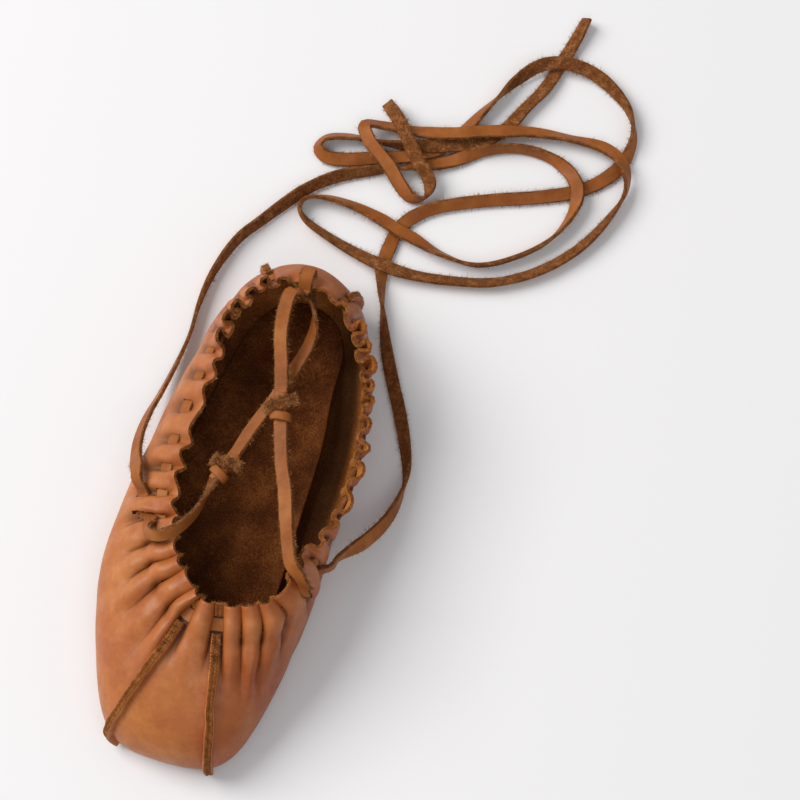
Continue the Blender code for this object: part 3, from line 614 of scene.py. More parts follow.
half = np.array(upper["columns"])
inGather = np.concatenate([half, [0.5], 1 - half[:0:-1]])
columnPleat = (valleys[:, None] + inGather).ravel()


# millimetres from the lace down to the bulge, summed along the side
def sideLength(r):
    rows = smoothSurface(np.asarray(r)[..., None], np.linspace(2, 1, shoe["sideSteps"] + 1))
    return np.linalg.norm(np.diff(rows, axis=-2), axis=-1).sum(-1)


# millimetres along the foot for one pleat, from a small step either way
def pleatWidth(pleat, v):
    ends = [smoothSurface(rOfPleat(pleat + step), v) for step in (-0.05, 0.05)]
    return np.linalg.norm(ends[1] - ends[0], axis=-1) / 0.1


# rows run down the sheet; each column slides along the foot with the drift of its pleat
downSide = ((np.arange(1, upper["sideRows"] + 1) / upper["sideRows"]) ** 1.2)[:, None]
drops = shoe["laceHalf"] + (sideLength(rOfPleat(columnPleat)) - shoe["laceHalf"]) * downSide
reached = driftReach * np.tanh((drops - shoe["laceHalf"]) / driftReach)
slide = betweenValleys(columnPleat, pleatDrift) * reached
sidePleat = columnPleat + slide / pleatWidth(columnPleat, vOfDrop(rOfPleat(columnPleat), drops))
sideR = rOfPleat(sidePleat)
sideDrops = shoe["laceHalf"] + (sideLength(sideR) - shoe["laceHalf"]) * downSide
frillDrops = np.array(upper["frillDrops"])[:, None] + np.zeros_like(columnPleat)
frillR = rOfPleat(columnPleat) + np.zeros_like(frillDrops)
rollV = np.linspace(1, 0, upper["rollRows"] + 1)[1:, None] + np.zeros_like(columnPleat)
rollR = sideR[-1] + np.zeros_like(rollV)
wallR = np.concatenate([frillR, sideR, rollR])
wallV = np.concatenate([vOfDrop(frillR, frillDrops), vOfDrop(sideR, sideDrops), rollV])
wallDrop = np.concatenate([frillDrops, sideDrops, sideDrops[-1] + (1 - rollV) * shoe["rollDrop"]])
wallPleat = np.broadcast_to(columnPleat, wallV.shape)
wallPhase = phaseOfPleat(np.concatenate([columnPleat + 0 * frillDrops, sidePleat, sidePleat[-1] + 0 * rollV]))
smooth = smoothSurface(wallR, wallV)
standing = np.radians(standUp) * collarAt(wallPhase, 6) * ease(-wallDrop, 0, 3)
above = np.clip(-wallDrop, 0, None)
leanNow = np.radians(ringSpline(leanOf, wallR))
plan = inward(laceRing, wallR) * ((np.sin(leanNow - standing) - np.sin(leanNow)) * above)[..., None]
higher = ((np.cos(leanNow - standing) - np.cos(leanNow)) * above)[..., None]
smooth = smooth + np.concatenate([plan, higher], -1)
turns, nearLace, normalTurns = upper["easing"]
for turn in range(turns):  # eases the bend where the side becomes the frill
    between = (smooth[:-2] + 2 * smooth[1:-1] + smooth[2:]) / 4
    share = (np.abs(wallDrop[1:-1]) < nearLace)[..., None]
    smooth[1:-1] = np.where(share, between, smooth[1:-1])
outward, upward = directions(wallR, wallV)
for turn in range(normalTurns):
    outward[1:-1] = unit(outward[:-2] + 2 * outward[1:-1] + outward[2:])
swing, valleyShade = gatherSwing(wallPleat, wallDrop, pleatWidth(wallPleat, wallV))
off = swing * collarAt(wallPhase, 1)

edgeWaves = {  # size, count round the collar and start
    "rhythm": ((0.10, 13, 1), (0.05, 29, 0)),  # pleats along
    "swell": ((0.22, 7, 0.5), (0.16, 17, 2)),  # share of the swing
    "lift": ((0.6, 5, 0), (0.5, 11, 1)),  # millimetres up
    "height": (3.2, 9.5),  # millimetres above the lace between which the edge takes its own form
}


# a value with sine waves round the collar added to it
def withWaves(value, name):
    for size, count, start in edgeWaves[name]:
        value = value + size * np.sin(count * (2 * math.pi * wallPhase / gatherCount) + start)
    return value


# the raw edge waves in its own uneven rhythm and curls back where it is crowded;
# over the toes it keeps its pleats
uneven = withWaves(wallPleat, "rhythm")
swell = withWaves(1, "swell")
edgeShare = ease(-wallDrop, *edgeWaves["height"])
loose = edgeShare * (1 - frontShare(wallPhase))
off = off * (1 - loose) - loose * collarAt(wallPhase, 4) * swell * np.cos(2 * math.pi * uneven)
curl = loose * collarAt(wallPhase, 5) * swell * np.sin(4 * math.pi * uneven)
sideways = unit(np.cross(upward, outward))
a, b, c, d = foldOver["gathers"]
laid = foldOver["by"] * ease(wallPhase, a, b) * (1 - ease(wallPhase, c, d)) * (1 - ease(wallDrop, 12, 36))
curl = curl + laid * np.clip(0.5 + swing / 2, 0, 1.2)
middle = smooth + outward * off[..., None] + sideways * curl[..., None]
middle = middle + upward * (edgeShare * withWaves(0, "lift"))[..., None]

# wear creases: depth falls off as a bell across the line and as a sine along it
wearAndLight = np.zeros(wallV.shape)
for phaseA, dropA, phaseB, dropB, width, depth in wearCreases:
    u = np.linspace(0, 1, 25)
    lineR = rOfPhase(phaseA + (phaseB - phaseA) * u)
    line = smoothSurface(lineR, vOfDrop(lineR, dropA + (dropB - dropA) * u))
    apart = np.linalg.norm(smooth[..., None, :] - line, axis=-1)
    nearest = apart.argmin(-1)
    wearAndLight += depth * np.exp(-((apart.min(-1) / width) ** 2)) * np.sin(math.pi * (0.08 + 0.84 * u[nearest]))
middle = middle - outward * (wearAndLight * ease(wallDrop, 0, 6) * ease(wallV, 0.05, 0.8))[..., None]

# thickness along the folded sheet's own normal near the raw edge, and more along the smooth one lower down
alongSheet = np.roll(middle, -1, 1) - np.roll(middle, 1, 1)
upSheet = -np.gradient(middle, axis=0)
own = unit(np.cross(alongSheet, upSheet))
ownLow, ownMore, *between = upper["ownNormal"]
share = (ownLow + ownMore * ease(-wallDrop, *between))[..., None] * ease(wallV, 0.02, 0.3)[..., None]
normal = unit(own * share + outward * (1 - share))
thick = shoe["leather"] * (0.7 + 0.3 * ease(-wallDrop, 10.0, 9.4))[..., None]  # the cut edge is rounded
wallOuter = middle + normal * thick / 2
wallInner = middle - normal * thick / 2
wallOuter[-1, :, 2], wallInner[-1, :, 2] = 0, shoe["leather"]
wallOuter[..., 2] = np.maximum(wallOuter[..., 2], 0)

# lace slits where the sheet crosses the lace, tie slits under two pleats, and the slit at the heel
midDrop = (wallDrop[:-1] + wallDrop[1:]) / 2
midSwing = (swing + np.roll(swing, -1, 1))[:-1] / 2
flank = np.abs(midSwing) < upper["slit"]
cellPhase = wallPhase[:-1]
gather = np.floor(cellPhase)
tied = (gather == phaseOf["strapLateral"] - 1) | (gather == phaseOf["strapMedial"])
keep = ~(flank & (np.abs(midDrop) < shoe["laceHalf"]))
fromEntry = np.minimum(*[np.abs(cellPhase - phaseOf[rib]) for rib in ("strapLateral", "strapMedial")])
tieTop = np.where(fromEntry < upper["tieReach"], shoe["laceHalf"], upper["tieTop"])
keep &= ~(flank & tied & (midDrop > tieTop) & (midDrop < upper["tieBottom"]))
slitFrom, slitTo, slitTop = upper["heelSlit"]
atHeel = (cellPhase > slitFrom) & (cellPhase < slitTo)
keep &= ~(atHeel & (midDrop > slitTop) & (midDrop < -shoe["laceHalf"]))
quads, kinds = wallFaces(keep)
rows, columns = wallV.shape
lastRow = np.arange(columns) + (rows - 1) * columns
rims = (lastRow[::-1], lastRow + rows * columns)
points = np.concatenate([wallOuter.reshape(-1, 3), wallInner.reshape(-1, 3)])
markSpans = {  # the most a mark gets, and the millimetres over which it comes in; marks of wear, painted shade and painted highlight
    "innerDyeAndLight": (0.48, -5, 45), "heelSideLight": (0.5, 92, 118),
    "valley": (0.88, -9, 2), "lowShade": (0.5, 0, 5),
    "ridge": (0.3, -10, 0), "toeHighlight": (0.26, 55, 112), "outerHighlight": (0.22, 26, 50),
    "groove": (0.85, 3.5, 10),
}


# a mark that rises by a smooth step to its most
def comeIn(name, value):
    most, a, b = markSpans[name]
    return most * ease(value, a, b)


# a mark that falls by a smooth step from its most
def goOut(name, value):
    most, a, b = markSpans[name]
    return most * (1 - ease(value, a, b))


# marks for the materials, from 0 to 1: painted shade and partly a deeper dye on the inner side and heel,
# which is painted light on the wall inside; painted shade in the valleys, low down and in the groove beside
# the footbed; rubbed ridges; painted highlights on the toe and outer side
smoothX, smoothY = smooth[..., 0], smooth[..., 1]
front = frontShare(wallPhase)
valleyEnd = 1 - ease(wallDrop, 8 + 4 * front, 26 + 16 * front)  # lower down over the toes
shade = np.clip(valleyShade * comeIn("valley", wallDrop) * valleyEnd, 0, 1)
ridges = np.clip(swing - 0.7, 0, 1) * comeIn("ridge", wallDrop)
# painted highlights on the toe and the outer side
paintedHighlight = comeIn("toeHighlight", -smoothY) * (1 - ease(smoothX, -8, 26)) + comeIn("outerHighlight", -smoothX)
marks = {
    "dyeAndSideLight": comeIn("innerDyeAndLight", smoothX) + comeIn("heelSideLight", smoothY),
    # painted shade in the valleys and low down by the sole
    "deep": np.maximum(shade, goOut("lowShade", wallOuter[..., 2])),
    "proud": np.maximum(ridges, paintedHighlight),
    # painted shade low on the inner wall, in the groove beside the footbed
    "groove": goOut("groove", wallInner[..., 2]) * ease(smoothX, 0, 30),
}
upperPiece = meshPiece(
    "gathered_upper", points, quads, (waxedCowhide, wallSuede, rawEdge), np.concatenate([kinds, [0, 1]]),
    rims, 55, marks={name: np.concatenate([values.ravel()] * 2) for name, values in marks.items()},
)
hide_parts("upper_and_sole")
print("gathered upper:", len(points), "points")

# Footbed
footbed = {
    "points": 180, "rows": 14, "bottom": 2.3, "thick": 1.5, "thin": 0.3, "lip": 4.6, "sag": 0.5,
    "inset": 0.8, "groove": 5.0,  # in from the outline, and further in along the inner side of the foot
    "inner": (16, 28),  # from these millimetres off the middle line
    "innerLong": (-75, -35, 60, 100),  # along the foot, coming in and going out
    "spine": ((-112, 0, 110), (2, 0, 2)), "spineEnd": 88,
    "crowd": (1.3, 0.97),  # how the rings crowd at the edge, and how near they come to the spine
}


# rings that shrink from the outline to the spine of the foot; the edge is pared thin, lifts in a lip
# along the inner side, and the middle sags a little
def makeFootbed():
    r = np.linspace(0, roundFoot, footbed["points"], endpoint=False)
    edge = smoothSurface(r, np.zeros_like(r))[:, :2]
    x, y = edge.T
    toeFrom, toeTo, heelFrom, heelTo = footbed["innerLong"]
    innerSide = ease(x, *footbed["inner"]) * ease(y, toeFrom, toeTo) * (1 - ease(y, heelFrom, heelTo))
    edge = edge + inward(bulgeRing, r) * (footbed["inset"] + footbed["groove"] * innerSide)[:, None]
    y, end = edge[:, 1], footbed["spineEnd"]
    spine = np.stack([np.interp(y, *footbed["spine"]), np.clip(y, -end, end)], 1)
    power, most = footbed["crowd"]
    s = (np.linspace(0, 1, footbed["rows"]) ** power * most)[:, None, None]
    plan = edge * (1 - s) + spine * s
    level = s[..., 0]
    full = np.maximum(ease(level, 0, 0.2), innerSide)
    top = footbed["bottom"] + footbed["thin"] + (footbed["thick"] - footbed["thin"]) * full
    top = top + footbed["lip"] * innerSide * (1 - ease(level, 0, 0.25))
    wavy = np.sin(plan[..., 0] * 0.11 + 1.2 * np.sin(plan[..., 1] * 0.05)) * np.sin(plan[..., 1] * 0.07)
    top = top + footbed["sag"] * wavy * ease(level, 0.1, 0.4)
    grid = np.concatenate([plan, top[..., None]], -1)
    base = np.concatenate([edge, np.full((len(r), 1), footbed["bottom"])], 1)
    allRows = np.concatenate([base[None], grid])
    quads, rims = tubeFaces(len(allRows), len(r))
    rims = tuple(rim[::-1] for rim in rims)
    kinds = np.zeros(len(quads) + 2)
    piece = meshPiece("suede_footbed", allRows.reshape(-1, 3), quads[:, ::-1], (insideSuede,), kinds, rims)
    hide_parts("insole")
    return piece


makeFootbed()
print("footbed done")

# Straps and lace
strap = {
    "width": 6.8,
    "thick": 1.9,
    "step": 2.0,
    "profile": (  # across and height as shares of half the width and half the thickness, grain face first
        (-0.84, 0.98), (-0.45, 1.0), (0.0, 1.02), (0.45, 1.0), (0.84, 0.98), (0.97, 0.55),
        (1.0, -0.2), (0.95, -0.85), (0.80, -1.0), (0.40, -1.0), (0.0, -0.97), (-0.40, -1.0),
        (-0.80, -1.0), (-0.95, -0.85), (-1.0, -0.2), (-0.97, 0.55),
    ),
    "grainFaces": 4,
    "uneven": (9, 0.025),  # the width wanders by this share every so many millimetres
}


# a flat profile carried along a route: across the strap by its width direction, up by the face direction
def sweepStrap(name, points, width, widthScale, closed=False):
    at = runOf(points)
    ahead = unit(np.roll(points, -1, 0) - np.roll(points, 1, 0) if closed else np.gradient(points, axis=0))
    width = unit(width - ahead * np.sum(width * ahead, 1, keepdims=True))
    face = np.cross(ahead, width)
    a, h = (np.array(strap["profile"]) * (strap["width"] / 2, strap["thick"] / 2)).T
    across = a[None, :] * np.broadcast_to(widthScale, at.shape)[:, None]
    rings = points[:, None] + width[:, None] * across[..., None] + face[:, None] * h[None, :, None]
    count, around = len(points), len(a)
    quads, rims = tubeFaces(count, around)
    if closed:
        ids = np.arange(count * around).reshape(count, around)
        joint = np.stack([ids[-1], ids[0], np.roll(ids[0], -1), np.roll(ids[-1], -1)], -1)
        quads, rims = np.concatenate([quads, joint]), ()
    kinds = np.where(np.arange(len(quads)) % around < strap["grainFaces"], 0, 1)
    kinds = np.concatenate([kinds, np.ones(len(rims))])
    girth = np.concatenate([[0], np.cumsum(np.hypot(np.diff(a), np.diff(h)))])
    uv = np.stack(np.broadcast_arrays(at[:, None] * mm, girth[None] * mm), -1).reshape(-1, 2)
    return meshPiece(name, rings.reshape(-1, 3), quads, strapHides, kinds, rims, 32, uv), width, face


lace = {
    "points": 14,  # to each gather
    "reach": 2.0,  # millimetres from the lace line to the middle of a strap that clears the leather
    "bowed": ((0, 1, 1.5, 35, 36), (0, 0, 1, 1, 0)),  # no bow behind the heel, between these gathers
    "sway": 0.25,
}


# the drawstring lies on the lace line all round, bowing out over each valley and in behind each ridge
def makeDrawstring():
    pleat = (valleys[:, None] + np.arange(lace["points"]) / lace["points"]).ravel()
    phase = phaseOfPleat(pleat)
    r = rOfPhase(phase)
    v = np.full_like(r, 2.0)
    out, rise = directions(r, v)
    bow = (lace["reach"] - collarAt(phase, 1)) * np.cos(2 * math.pi * pleat)
    bow = bow * np.interp(phase, *lace["bowed"])
    centre = smoothSurface(r, v) + out * bow[:, None] + rise * (lace["sway"] * np.sin(phase * 2.3))[:, None]
    piece, _, _ = sweepStrap("woven_drawstring", centre, rise, 1.0, True)
    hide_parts("drawstring")
    return piece


makeDrawstring()

# Routes of the ties: x, y, height and lean of the strap's width, 0 lying flat, 90 on edge, 180 turned over
knots = {  # x, y, height, heading from the heel strap to the tie, lean of the straps that meet it
    "lateral": (-8.6, 10.8, 40.6, -111, 30),
    "medial": (8.8, 44, 46.4, -74.6, 18),
}
knotReach = 13.0 / 2 + 0.75  # half the solid knot and the gap beside it
heelToMedial = ((-2, 98, 55, 5), (-2, 81, 52, 8), (3, 64, 49, 14))
lateralToHeel = (
    (-2, 32, 41, 155), (4, 49, 41.6, 158), (9, 66, 42.2, 160), (12, 79, 43.5, 148), (11.6, 88, 44.6, 116),
    (8.5, 97, 45.8, 74),
)
lateralOverCollar = (
    (-12.5, -8.5, 45, 84), (-15, -19.5, 50, 108), (-20, -28, 52.5, 124), (-26.5, -32, 51, 128),
    (-33, -30.5, 46.5, 150),
)
medialOverCollar = (
    (17, 18, 44.5, 14), (21.5, 8, 45, 12), (28, -10, 48, 16), (32, -20, 52, 24), (36.5, -29, 54.5, 36),
    (41, -32.5, 52.5, 48), (44, -35, 48.5, 58),
)
# on the floor the height is above the strap's own resting height
lateralTie = (
    (-53, 8, 23.5, 136), (-55.5, 19, 17.5, 130), (-56, 32, 11, 122), (-54.5, 46, 5, 114),
    (-52.5, 63, 1.5, 108), (-51, 80, 0.3, 102), (-51.5, 96, 0.3, 94), (-50.5, 110, 0.3, 84),
    (-47.5, 123.5, 0.3, 76), (-42.5, 136.5, 0.3, 70), (-35, 147.5, 0.3, 64), (-27, 159, 0.3, 58),
    (-17, 171.5, 0.3, 52), (-4.5, 181.5, 0.3, 52), (10, 188.5, 0.3, 70), (25.5, 194.5, 0.3, 122),
    (44, 203.5, 0.3, 168), (61.5, 214.5, 0.3, 64), (78, 220.5, 0.3, 74), (94, 220, 0.3, 66),
    (106, 214, 3.4, 18), (112, 205.5, 4.2, 12), (112.5, 194.5, 1.2, 50), (106.5, 179, 0.3, 76),
    (92.5, 164.5, 0.3, 80), (74.5, 154.5, 0.3, 76), (55, 155, 0.8, 56), (40.5, 159, 2.6, 20),
    (31.5, 161, 3.6, 10), (21.5, 164.5, 2.6, 20), (6, 168, 0.6, 44), (-9, 168, 0.3, 60),
    (-17.5, 165, 0.3, 72), (-19, 159.5, 0.3, 90), (-14, 154, 0.3, 118), (-0.5, 148.5, 0.3, 134),
    (14.5, 144, 1.2, 152), (30, 140.5, 4, 170), (45, 140.5, 1.2, 152), (64, 143, 0.3, 146),
    (85.5, 148.5, 0.3, 142), (105, 160.5, 0.3, 142), (121, 178, 0.3, 138), (131, 198, 0.3, 116),
    (135, 214, 1.2, 80), (130.5, 225.5, 4.2, 34), (119.5, 232.5, 2.8, 18), (101, 233, 0.8, 44),
    (83, 231, 2.4, 24), (68, 227, 3.6, 10), (56.5, 223.5, 3.6, 8), (48, 219, 6, 8), (36, 215.5, 6, 10),
    (22.5, 214.5, 2, 30), (9.5, 213.5, 1.6, 36), (0.5, 210, 6, 20), (4.5, 202, 8, 10), (17.5, 192, 7.4, 6),
    (27.5, 183, 3.2, 26), (33.5, 179.6, 0.8, 64), (39.5, 181.4, 0.8, 108), (40.5, 188.5, 3.2, 150),
    (28, 202, 7.4, 174), (16.5, 216, 8, 172), (7.5, 225.5, 2.6, 160),
)
medialTie = (
    (62.5, 0, 15, 38), (69, 14, 9, 52), (71.5, 28, 4, 80), (71, 41.5, 1, 112), (65.5, 57, 0.3, 140),
    (58.5, 71.5, 0.3, 150), (51, 85.5, 0.3, 150), (44, 99.5, 0.3, 138), (38, 114, 0.3, 106),
    (32.5, 129, 0.3, 64), (29.5, 142, 0.3, 24), (30, 153, 0.3, 14), (31.5, 162.5, 0.3, 10),
    (35.5, 169, 0.3, 30), (44.5, 177, 0.3, 46), (60, 185, 0.3, 46), (76, 191.5, 0.3, 42),
    (94.5, 198.5, 0.3, 30), (111.5, 207, 0.3, 12), (123, 217, 0.3, 12), (130, 228.5, 0.3, 30),
    (131.5, 242.5, 0.3, 66), (125.5, 256, 0.3, 100), (113.5, 266, 0.6, 128), (100, 271.5, 1.8, 150),
    (86, 271.5, 3.6, 170), (76, 267.5, 1.8, 150), (66, 255.5, 0.5, 112), (59.5, 243.5, 0.3, 72),
    (53, 231.5, 0.3, 40), (47.5, 220.5, 0.3, 8), (40.5, 210.5, 0.3, 8), (28.5, 203, 0.3, 4),
    (12, 197, 0.3, 160), (-4.5, 191, 0.3, 150), (-14.5, 189.5, 0.6, 138), (-19.5, 193, 0.9, 126),
    (-17, 199, 0.6, 128), (-6.5, 203, 0.3, 130), (10, 204.5, 0.3, 104), (25.5, 207, 0.3, 66),
    (41.5, 211.5, 2.8, 12), (57, 218.5, 0.3, 170), (67.5, 228.5, 0.3, 172), (75, 243.5, 0.3, 154),
    (81.5, 256.5, 0.3, 160), (86, 273.5, 0.3, 174), (89.5, 287, 0.3, 156), (92.0, 299.5, 0.8, 132),
)
# under a pleat: gathers from the entry valley, millimetres below the lace, stand-off
underPleat = ((0.2, 11.2, -0.2), (0.5, 11.2, -0.2), (0.8, 11.2, -0.2), (0.96, 11.2, 0.0), (1.1, 11.2, 2.2))
throughLateral = (
    (-0.20, 3.6, 3.8), (-0.06, 5.2, 1.7), (0.06, 8.0, 0.0), *underPleat, (1.3, 11.2, 6.4), (1.7, 11.4, 7.6),
)
throughMedial = (
    (-0.16, 1.5, 3.6), (-0.04, 3.6, 1.6), (0.06, 7.0, 0.0), *underPleat, (1.3, 11.2, 5.4), (1.7, 11.4, 6.6),
)
# through the heel: millimetres above the lace and stand-off
throughHeel = (
    (5.4, -5.0), (5.45, 0.0), (5.5, 4.0), (7.0, 6.0), (9.4, 6.4), (12.0, 4.6), (12.6, 1.0), (12.6, -3.5),
)


# points and width directions of given rows: level turned up by the lean about the run of the strap
def freeRows(rows, resting=False):
    rows = np.array(rows, float)
    points, lean = rows[:, :3].copy(), np.radians(rows[:, 3])
    if resting:
        points[:, 2] += strap["width"] / 2 * np.sin(lean) + strap["thick"] / 2 * np.abs(np.cos(lean))
    along = unit(np.gradient(points, axis=0))
    level = unit(np.stack([-along[:, 1], along[:, 0], np.zeros(len(rows))], 1))
    return points, level * np.cos(lean)[:, None] + np.cross(along, level) * np.sin(lean)[:, None]


# the tie's rows under the pleat beside its entry valley, its width up the side
def sideRows(entry, way, through):
    steps, drop, away = np.array(through).T
    r = rOfPhase(entry + way * steps)
    v = vOfDrop(r, drop)
    out, rise = directions(r, v)
    return smoothSurface(r, v) + out * away[:, None], rise


# the heel strap's rows through the heel, its width along the collar
def heelRows():
    height, away = np.array(throughHeel).T
    r = np.full(len(height), rOfPhase(shoe["heelPhase"]))
    v = vOfDrop(r, -height)
    out, rise = directions(r, v)
    return smoothSurface(r, v) + out * away[:, None], np.cross(out, rise)


# where a strap meets its knot: way 1 for the tie, -1 for the heel strap
def knotRow(name, way, turned=None):
    x, y, z, heading, lean = knots[name]
    turn = math.radians(heading)
    return ((x + way * knotReach * math.cos(turn), y + way * knotReach * math.sin(turn), z, turned or lean),)


# one smooth route through the rows: a centripetal spline, blended three times, then read at even steps
def smoothRoute(*parts):
    points = np.concatenate([part[0] for part in parts])
    width = np.concatenate([part[1] for part in parts])
    flips = np.cumprod(np.concatenate([[1], np.where(np.sum(width[1:] * width[:-1], 1) < 0, -1, 1)]))
    rows = np.concatenate([points, width * flips[:, None]], 1)
    at = np.concatenate([[0], np.cumsum(np.sqrt(np.linalg.norm(np.diff(points, axis=0), axis=1)))])
    rows = np.concatenate([[2 * rows[0] - rows[1]], rows, [2 * rows[-1] - rows[-2]]])
    at = np.concatenate([[2 * at[0] - at[1]], at, [2 * at[-1] - at[-2]]])
    t = np.linspace(at[1], at[-2], 40 * len(points))
    i = np.clip(np.searchsorted(at, t, side="right") - 1, 1, len(rows) - 3)
    t = t[:, None]

    def mix(p, q, a, b):
        return ((at[b][:, None] - t) * p + (t - at[a][:, None]) * q) / (at[b] - at[a])[:, None]

    first = [mix(rows[i + k - 1], rows[i + k], i + k - 1, i + k) for k in (0, 1, 2)]
    second = [mix(first[k], first[k + 1], i - 1 + k, i + 1 + k) for k in (0, 1)]
    fine = mix(second[0], second[1], i, i + 1)
    run = runOf(fine[:, :3])
    even = np.linspace(0, run[-1], int(run[-1] / strap["step"]) + 1)
    picked = np.stack([np.interp(even, run, fine[:, c]) for c in range(6)], 1)
    return picked[:, :3], picked[:, 3:], even


fuzz = {
    "thick": 0.18,
    "strap": (11.0, (0.35, 1.5)),  # fibres to a millimetre, and from the shortest to the longest
    "seam": (9, (0.35, 1.0)),
    "knot": (1500, (0.4, 1.7)),  # fibres in all
    "collar": (3600, (0.25, 1.0)),
}


# thin tapering ribbons: root, a bent middle and a fine tip, none below the floor
def fibres(name, roots, aim, length):
    count = len(roots)
    bend = chance.normal(0, 1, (count, 3))
    side = unit(np.cross(aim, chance.normal(0, 1, (count, 3)))) * fuzz["thick"] / 2
    reach = length[:, None]
    halfWay = roots + aim * reach * 0.55 + bend * reach * 0.12
    spine = np.stack([roots, halfWay, roots + aim * reach + bend * reach * 0.42], 1)
    taper = np.array((1.0, 0.75, 0.12))[None, :, None]
    pairs = np.stack([spine - side[:, None] * taper, spine + side[:, None] * taper], 2)
    pairs[..., 2] = np.maximum(pairs[..., 2], 0.05)
    ids = np.arange(count * 6).reshape(count, 3, 2)
    quads = np.stack([ids[:, :-1, 0], ids[:, 1:, 0], ids[:, 1:, 1], ids[:, :-1, 1]], -1).reshape(-1, 4)
    return meshPiece(name, pairs.reshape(-1, 3), quads, (hideFibre,), np.zeros(len(quads)))


# fibres that stand out of both cut edges of a strap and lean towards its flesh side
def strapFuzz(name, points, width, face):
    perMm, lengths = fuzz["strap"]
    count = int(len(points) * strap["step"] * perMm)
    i = chance.integers(2, len(points) - 2, count)
    edge = np.where(chance.random(count) < 0.5, -1.0, 1.0)[:, None]
    between = (points[i + 1] - points[i]) * chance.random((count, 1))
    depth = chance.uniform(-0.75, 0.1, (count, 1))
    roots = points[i] + between + width[i] * edge * strap["width"] / 2 * 0.97 + face[i] * depth
    towards = width[i] * edge - face[i] * chance.uniform(-0.2, 1.2, (count, 1))
    aim = unit(towards + chance.normal(0, 0.45, (count, 3)))
    length = chance.uniform(*lengths, count) ** 1.6
    return fibres(name, roots, aim, length)


routes = {
    "heel_strap": (
        freeRows(knotRow("lateral", -1, 150) + lateralToHeel),
        heelRows(),
        freeRows(heelToMedial + knotRow("medial", -1)),
    ),
    "tie_lateral": (
        freeRows(knotRow("lateral", 1) + lateralOverCollar),
        sideRows(phaseOf["strapLateral"], -1, throughLateral),
        freeRows(lateralTie, True),
    ),
    "tie_medial": (
        freeRows(knotRow("medial", 1) + medialOverCollar),
        sideRows(phaseOf["strapMedial"], 1, throughMedial),
        freeRows(medialTie, True),
    ),
}
grainSide = {"heel_strap": -1, "tie_lateral": -1, "tie_medial": 1}  # which way the smooth face looks
strapPieces, strapPaths = {}, {}
for name, parts in routes.items():
    points, width, at = smoothRoute(*parts)
    width = width * grainSide[name]
    scale = 1 + wander(at, *strap["uneven"])
    piece, width, face = sweepStrap(name + "_leather", points, width, scale)
    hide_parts(name)
    strapPieces[name], strapPaths[name] = piece, points
    strapPieces[name + "_fuzz"] = strapFuzz(name + "_fuzz", points, width, face)
    print(name, "is", round(at[-1]), "mm long")

# Knots
knotLook = {  # millimetres and degrees
    "core": (3.3, 0.4), "coreThick": (0.8, 1.4), "swell": 4.5,  # half sizes, and their change in the middle
    "bar": 15.0, "barTurn": 16.0, "barHigh": 3.3, "barDroop": 0.05, "barBack": 1.2, "barHalf": (2.9, 0.95),
    "loopAt": 4.6, "loopWide": 4.6, "loopHigh": 3.0, "loopLean": 0.9, "loopHalf": (2.2, 0.75),
}


# an oval band along a route: rings of a squared ellipse in the plane of two side directions
def ovalBand(points, sideA, sideB, a, b, around=14):
    turn = np.linspace(0, 2 * math.pi, around, endpoint=False)
    a, b = np.broadcast_to(a, len(points)), np.broadcast_to(b, len(points))
    acrossBand = np.sign(np.cos(turn)) * np.abs(np.cos(turn)) ** 0.6
    upBand = np.sign(np.sin(turn)) * np.abs(np.sin(turn)) ** 0.6
    ring = sideA[:, None] * (acrossBand[None, :, None] * a[:, None, None])
    ring = ring + sideB[:, None] * (upBand[None, :, None] * b[:, None, None])
    quads, rims = tubeFaces(len(points), around)
    return (points[:, None] + ring).reshape(-1, 3), quads[:, ::-1], tuple(rim[::-1] for rim in rims)


